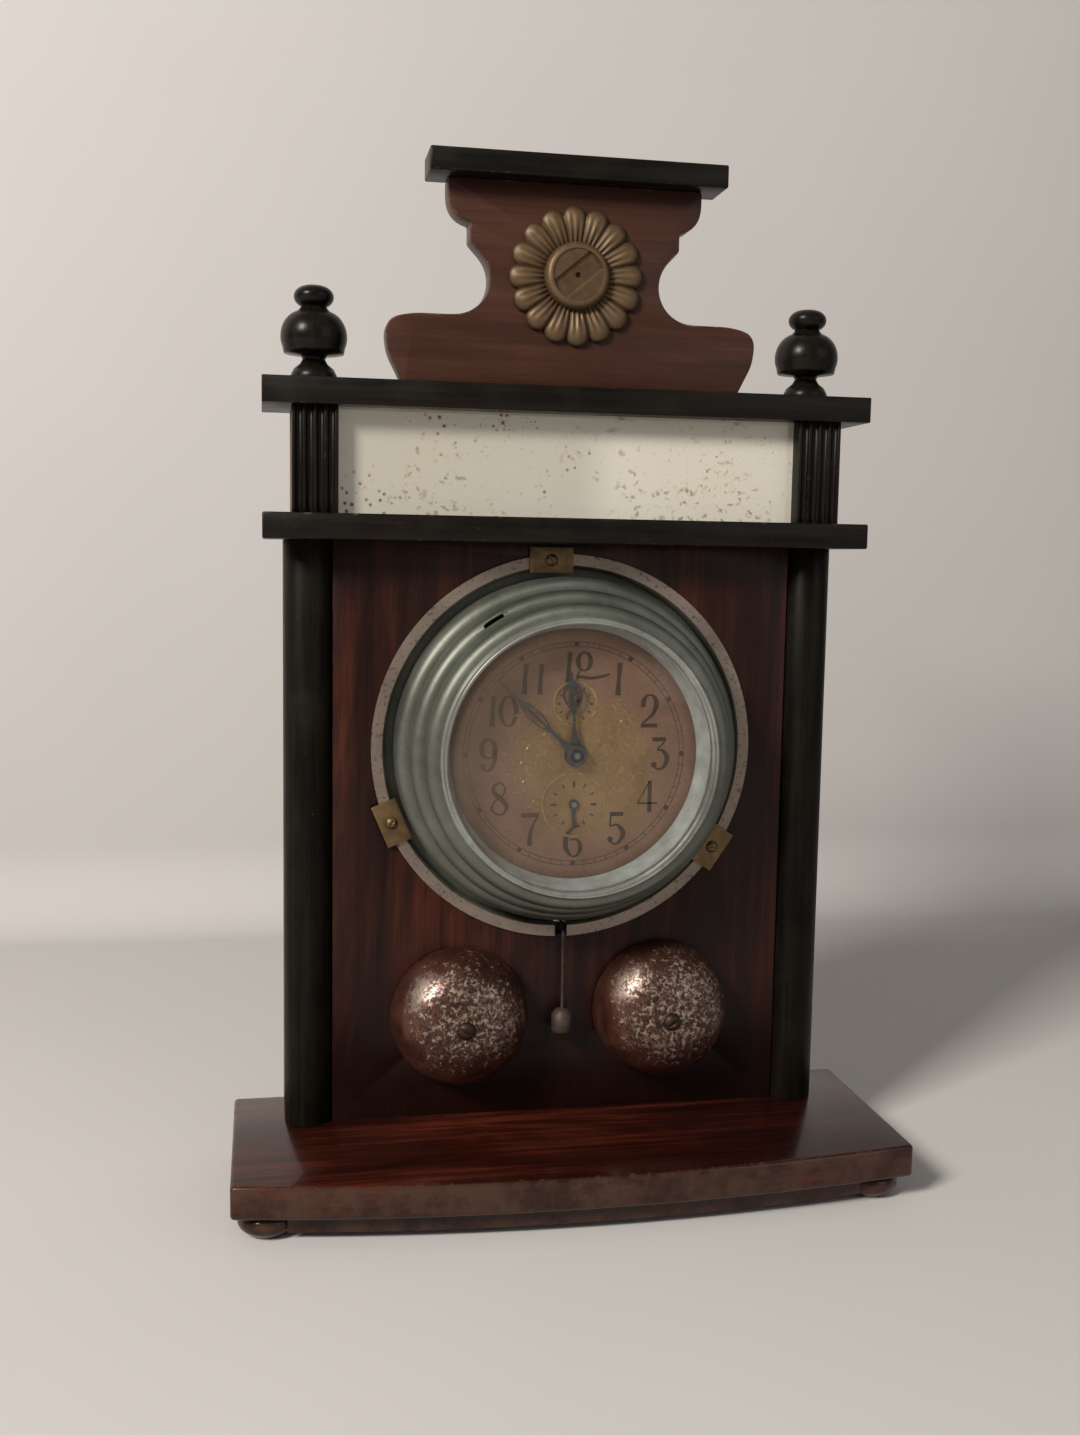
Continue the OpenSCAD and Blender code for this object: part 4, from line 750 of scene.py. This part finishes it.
# Small leaves round the ornament: how many on each side, the first's angle, their pitch in degrees
# and their distance from the middle, then a leaf's half length, arch, and width at tips and middle
LEAVES, LEAF_START, LEAF_PITCH, LEAF_REACH = 7, -50, 16.6, 25.6 * MM
LEAF_HALF, LEAF_ARCH, LEAF_TIP, LEAF_WIDTH = 1.2 * MM, 0.5 * MM, 0.1 * MM, 0.7 * MM
ORNAMENT_LIFT = 0.1 * MM
# Rims of the small dials: below (-1) or above the middle, and radius; then their width and lift
SMALL_RIMS = ((-1, 11.6 * MM), (1, 7.9 * MM))
SMALL_RIM_WIDTH, SMALL_RIM_LIFT = 0.9 * MM, 0.22 * MM


def scroll(x, z, size, turn, sense, coils=1.3, n=34):
    """One spiral scroll, thickest at the middle of its length."""
    out = []
    for i in range(n + 1):
        t = i / n
        r = size * (1 - t) ** 0.8 + 0.1 * size
        a = math.radians(turn) + sense * t * coils * WHOLE_TURN
        out.append((*round_point(x, z, r, a), size * (0.09 + 0.14 * math.sin(math.pi * t))))
    return out


def dial_ornament():
    """Raised gilt scrollwork round the middle, and the rims of the two small dials."""
    bm = bmesh.new()
    for side in (-1, 1):
        for x, z, size, turn, sense in SCROLLS:
            ribbon(bm, scroll(DIAL_X + side * x * MM, DIAL_Z + z * MM, size * MM,
                              turn if side > 0 else 180 - turn, sense * side), PRINT_Y, ORNAMENT_LIFT)
        for start, r, width in ARCS:
            ends = (start, start + ARC_SWEEP) if side > 0 else (180 - start, 180 - ARC_SWEEP - start)
            ribbon(bm, ring_path(DIAL_X, DIAL_Z, r * MM, width * MM, *ends, 30), PRINT_Y, ORNAMENT_LIFT)
        for k in range(LEAVES):
            a = LEAF_START + LEAF_PITCH * k
            x, z = round_point(DIAL_X, DIAL_Z, LEAF_REACH, math.radians(a if side > 0 else 180 - a))
            leaf = [(x - LEAF_HALF, z, LEAF_TIP), (x, z + LEAF_ARCH, LEAF_WIDTH),
                    (x + LEAF_HALF, z, LEAF_TIP)]
            ribbon(bm, smooth_path(leaf, 4), PRINT_Y, ORNAMENT_LIFT)
    for side, r in SMALL_RIMS:
        rim = ring_path(DIAL_X, DIAL_Z + side * SMALL_DIAL_PITCH, r, SMALL_RIM_WIDTH)
        ribbon(bm, rim, PRINT_Y, SMALL_RIM_LIFT)
    new_object("dial_ornament", bm, sheet_metal("dial_gilt"), "case", 60)


# Rosette: petals counted from the photograph, and a turned button with a slanting slot

PETALS, PETAL_PHASE, PETAL_STEPS = 16, math.radians(2.5), 24
PETAL_BASE, PETAL_RISE, PETAL_GROOVE = 1.0 * MM, 2.3 * MM, 0.34 * MM
GROOVES_PER_PETAL = 3
# Where two petals meet, the rim stands in to this share of the rosette's radius
CLEFT = 0.845
BUTTON_R, BUTTON_FOOT, BUTTON_RISE = 12.0 * MM, 2.2 * MM, 3.4 * MM
# Shares of the button's radius where its rounded shoulder begins and its sunk face ends, and the
# height of that face
SHOULDER_FROM, FACE_TO, FACE_HEIGHT = 0.8, 0.77, 5.2 * MM
SLOT_TURN, SLOT_HALF, SLOT_DEPTH, SLOT_BLEND = math.radians(40), 3.7 * MM, 0.95 * MM, 0.08 * MM
PIN_HOLE_R, PIN_HOLE_DEPTH = 0.9 * MM, 1.2 * MM
# The button's first ring closes its middle, at this share of its radius; then the counts of rings
FIRST_RING, BUTTON_RINGS, PETAL_RINGS = 0.02, 60, 26


def polar_solid(bm, centre, rings, angles):
    """Closed solid from rings round a centre, the first at its middle and the last on its flat back.
    Each ring is a function, called with its share s and an angle, that gives the radius, the height
    towards the viewer and the ridge value, a painted shade that is low in hollows and high on raised parts."""
    layer = bm.verts.layers.float_color.new("ridge_shade")
    rows = []
    for shape, s in rings:
        row = []
        for a in angles:
            r, h, ridge_shade = shape(s, a)
            v = bm.verts.new((centre[0] + r * math.cos(a), centre[1] - h, centre[2] + r * math.sin(a)))
            v[layer] = (ridge_shade, ridge_shade, ridge_shade, 1.0)
            row.append(v)
        rows.append(row)
    for p, q in zip(rows, rows[1:]):
        for k in range(len(p)):
            bm.faces.new((p[k - 1], q[k - 1], q[k], p[k]))
    bm.faces.new(rows[0])
    bm.faces.new(rows[-1])
    bmesh.ops.recalc_face_normals(bm, faces=bm.faces)


def button(s, a):
    """A ring of the button: rounded shoulder, sunk face with the slot, pin hole."""
    r = BUTTON_R * s
    shoulder = max(1 - (max(s - SHOULDER_FROM, 0.0) / (1 - SHOULDER_FROM)) ** 2, 0.0) ** 0.5
    height = BUTTON_FOOT + BUTTON_RISE * shoulder
    # Painted shade: lighter on the shoulder, darker in the slot, darkest in the pin hole
    ridge_shade = 0.35 + 0.35 * shoulder
    if s < FACE_TO:
        across = abs(r * math.sin(a - SLOT_TURN))
        slot = 1 / (1 + math.exp((across - SLOT_HALF) / SLOT_BLEND))
        in_hole = r < PIN_HOLE_R
        height = FACE_HEIGHT - SLOT_DEPTH * slot - (PIN_HOLE_DEPTH if in_hole else 0.0)
        ridge_shade = 0.52 - 0.08 * slot - (0.4 if in_hole else 0.0)
    return r, height, ridge_shade


def rosette_look():
    """Carved daisy: spoon-shaped petals grooved near the hub, and a turned button with a wide slot."""
    lo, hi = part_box("rosette")
    centre = ((lo[0] + hi[0]) / 2, hi[1], (lo[2] + hi[2]) / 2)
    tip = (hi[0] - lo[0]) / 2

    def petal(s, a):
        t = ((a - PETAL_PHASE) * PETALS / WHOLE_TURN + 0.5) % 1.0 - 0.5
        across = max(1 - (2 * t) ** 2, 0.0) ** 0.5
        rim = tip * (CLEFT + (1 - CLEFT) * across)
        # The petal's height is a spoon along its length, lower at its sides, with grooves that fade out
        spoon = math.sin(math.pi * (0.12 + 0.88 * s) ** 1.5) ** 0.6 if s < 1 else 0.0
        fade = max(1 - s / 0.85, 0.0) ** 0.7
        groove = math.cos(GROOVES_PER_PETAL * WHOLE_TURN * t) * fade * across
        height = PETAL_BASE + PETAL_RISE * spoon * (0.25 + 0.75 * across) + PETAL_GROOVE * groove
        # Painted shade in the clefts and grooves, and a painted highlight on the spoon's crest
        ridge_shade = 0.1 + 0.7 * spoon * across + 0.35 * groove
        return BUTTON_R + (rim - BUTTON_R) * s, height, max(0.0, min(1.0, ridge_shade))

    def back(s, a):
        return petal(s, a)[0], 0.0, 0.0

    bm = bmesh.new()
    rings = [(button, FIRST_RING + (1 - FIRST_RING) * i / BUTTON_RINGS) for i in range(BUTTON_RINGS + 1)]
    rings += [(petal, i / PETAL_RINGS) for i in range(PETAL_RINGS + 1)]
    steps = PETALS * PETAL_STEPS
    polar_solid(bm, centre, [*rings, (back, 1.0)], [WHOLE_TURN * i / steps for i in range(steps)])
    obj = new_object("rosette_look", bm, old_gilt(), "case", 50)
    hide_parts("rosette")


# Assembly


def case_looks():
    """The wooden case with its mirror and the plain boards behind it."""
    # The panel carries painted shade, low round the gongs and towards the right, where the drum and gongs
    # shadow it
    panel = wood("panel_wood", "Z", DARK_GRAIN_AND_SHADE, (0.036, 0.0088, 0.0048), (0.092, 0.0225, 0.0115), gloss=0.34,
                 wear_and_shade=(gong_soot, DARK_GRAIN_AND_SHADE))
    base = wood("base_wood", "X", (0.012, 0.0026, 0.0016), (0.036, 0.0066, 0.0038), (0.115, 0.022, 0.011),
                gloss=0.16, shift=(0, 0.3, 0), worn=(0.055, 0.024, 0.014), coat=0.28,
                wear_and_shade=(front_wear, (0.072, 0.034, 0.02)))
    crest = wood("crest_wood", "X", (0.043, 0.0165, 0.0105), (0.067, 0.0255, 0.0155),
                 (0.092, 0.038, 0.0235), gloss=0.34, shift=(0, 0, 0.4))
    side = wood("side_wood", "Z", (0.012, 0.006, 0.004), (0.035, 0.014, 0.009), (0.07, 0.028, 0.018),
                gloss=0.36, shift=(0.5, 0, 0))
    black = ebonised("black_along", "X")
    dress("front_panel", panel, 0.3 * MM)
    dress("base_plate", base, 1.4 * MM, steps=3)
    dress("base_moulding", base, 0.8 * MM)
    dress("bun_feet", base)
    for node in ("side_left", "side_right"):
        dress(node, side, 0.6 * MM)
    for node in ("column_left", "column_right"):
        dress(node, ebonised(node + "_black", "Z", (0.6, 0, 0), 0.34, shine=0.07), 0.3 * MM)
    for node in ("lower_cornice", "upper_cornice"):
        dress(node, black, 0.7 * MM)
    dress("crest_cap", black, 0.6 * MM)
    dress("pilasters", ebonised("black_upright", "Z", (0.2, 0, 0)), 0.25 * MM)
    dress("finials", ebonised("black_turned", "Z", (0.1, 0.4, 0), 0.22), smooth_angle=40)
    dress("crest_board", crest, 0.6 * MM, copy=faired_board)
    paint("mirror_board", plain_wood("inner_wood", "X"))
    paint("frieze_sides", plain_wood("inner_wood_up", "Z"))
    paint("mirror", old_mirror())


def drum_looks():
    """The drum and all that is on it."""
    dress("drum_case", spun_metal("drum_metal", (0.152, 0.16, 0.132), (0.36, 0.285, 0.235), 0.41),
          smooth_angle=28)
    dress("bezel", spun_metal("bezel_metal", (0.34, 0.35, 0.31), (0.3, 0.3, 0.3), 0.26), smooth_angle=40)
    dress("bevel_ring", sheet_metal("bevel_metal"), smooth_angle=40)
    dress("glass", hazy_glass(), smooth_angle=40)
    paint("dial", dial_face())
    dress("back_cover", sheet_metal("cover_metal"), smooth_angle=30)
    dress("clips", sheet_metal("clip_metal"), 0.25 * MM)
    dress("clip_screws", sheet_metal("screw_metal"), smooth_angle=30)
    dial_print()
    dial_ornament()


def gong_looks():
    """The two gongs with their screws and posts, and the hammer."""
    dress("gong_left", rusted_gong("gong_left_rust", (0, 0, 0), 0.68), smooth_angle=50)
    dress("gong_right", rusted_gong("gong_right_rust", (0.7, 0.2, 0.1), 0.67), smooth_angle=50)
    dress("gong_screws", sheet_metal("gong_screw_metal"), smooth_angle=35)
    dress("gong_posts", sheet_metal("post_metal"), smooth_angle=35)
    dress("hammer", sheet_metal("hammer_metal"), smooth_angle=35)


def movement_looks():
    """Paints the wheels, plates and hands by their slots, apart from what is dressed already."""
    shades = {"brass": sheet_metal("movement_brass"), "steel": sheet_metal("movement_steel"),
              "hand_steel": sheet_metal("hand_metal")}
    for part in frame["record"]["subparts"]:
        if part["material_slot"] in shades and part["node"] not in ("hammer", "gong_posts"):
            paint(part["node"], shades[part["material_slot"]])


# Stage: a table that reaches back to a wall, with a bend between them
WALL_Y, WALL_TOP, BEND_R, BEND_STEPS = 0.42, 3.0, 0.05, 10
TABLE_FRONT, STAGE_HALF_WIDTH = -3.0, 3.0


def stage():
    """Pale table and wall, with a soft bend between them."""
    bend = [math.radians(90 * i / BEND_STEPS) for i in range(1, BEND_STEPS + 1)]
    start = WALL_Y - BEND_R
    profile = [(TABLE_FRONT, 0.0), (start, 0.0),
               *((start + BEND_R * math.sin(a), BEND_R - BEND_R * math.cos(a)) for a in bend),
               (WALL_Y, WALL_TOP)]
    bm = bmesh.new()
    left, right = ([bm.verts.new((side * STAGE_HALF_WIDTH, y, z)) for y, z in profile] for side in (-1, 1))
    for k in range(len(profile) - 1):
        bm.faces.new((left[k], right[k], right[k + 1], left[k + 1]))
    pale = stage_paint("backdrop_paint", (0.70, 0.672, 0.65), variation=0.05, bounce=0.5)
    obj = new_object("backdrop", bm, pale, None, 60)


# Light: a lamp from the upper left as in the photograph, a weak one from the right, and the room
AIM = (0, 0, 0.2)
ROOM_COLOUR, ROOM_STRENGTH = (0.93, 0.9, 0.86, 1), 0.24


def lamp(name, place, size, power, colour):
    """A square lamp that looks at the clock; size in metres, power in watts."""
    data = bpy.data.lights.new(name, "AREA")
    data.size = size
    data.energy = power
    data.color = colour
    obj = bpy.data.objects.new(name, data)
    obj.location = place
    obj.rotation_euler = (Vector(AIM) - Vector(place)).to_track_quat("-Z", "Y").to_euler()
    bpy.context.scene.collection.objects.link(obj)


def lights():
    """The two lamps, and the even light of the room."""
    lamp("key", (-1.25, -1.05, 1.2), 0.45, 38, (1.0, 0.96, 0.9))
    lamp("fill", (1.3, -1.5, 0.8), 1.2, 3, (0.95, 0.97, 1.0))
    world = bpy.data.worlds.new("room")
    bpy.context.scene.world = world
    world.use_nodes = True
    background = world.node_tree.nodes["Background"]
    background.inputs["Color"].default_value = ROOM_COLOUR
    background.inputs["Strength"].default_value = ROOM_STRENGTH


# The camera that fits the photograph: place in metres, turns in radians
CAMERA_PLACE = (-0.11117, -0.51885, 0.23329)
PITCH, YAW, ROLL = -0.1080, -0.1877, -0.0166
FOCAL_PX, LONG_SIDE_PX, SENSOR_MM = 1463.23, 1435, 36.0


def camera():
    """Places the photograph's camera, with its own lens."""
    data = bpy.data.cameras.new("camera")
    data.sensor_width = SENSOR_MM
    data.lens = FOCAL_PX / LONG_SIDE_PX * SENSOR_MM
    data.clip_start = 0.01
    obj = bpy.data.objects.new("camera", data)
    turn = Matrix.Rotation(YAW, 3, "Z") @ Matrix.Rotation(PITCH, 3, "X") @ Matrix.Rotation(ROLL, 3, "Y")
    right, forward, up = turn.col
    pose = Matrix((right, up, -forward)).transposed().to_4x4()
    pose.translation = Vector(CAMERA_PLACE)
    obj.matrix_world = pose
    bpy.context.scene.collection.objects.link(obj)
    bpy.context.scene.camera = obj


case_looks()
rosette_look()
drum_looks()
gong_looks()
movement_looks()
stage()
lights()
camera()
bpy.context.scene.view_settings.view_transform = "Standard"
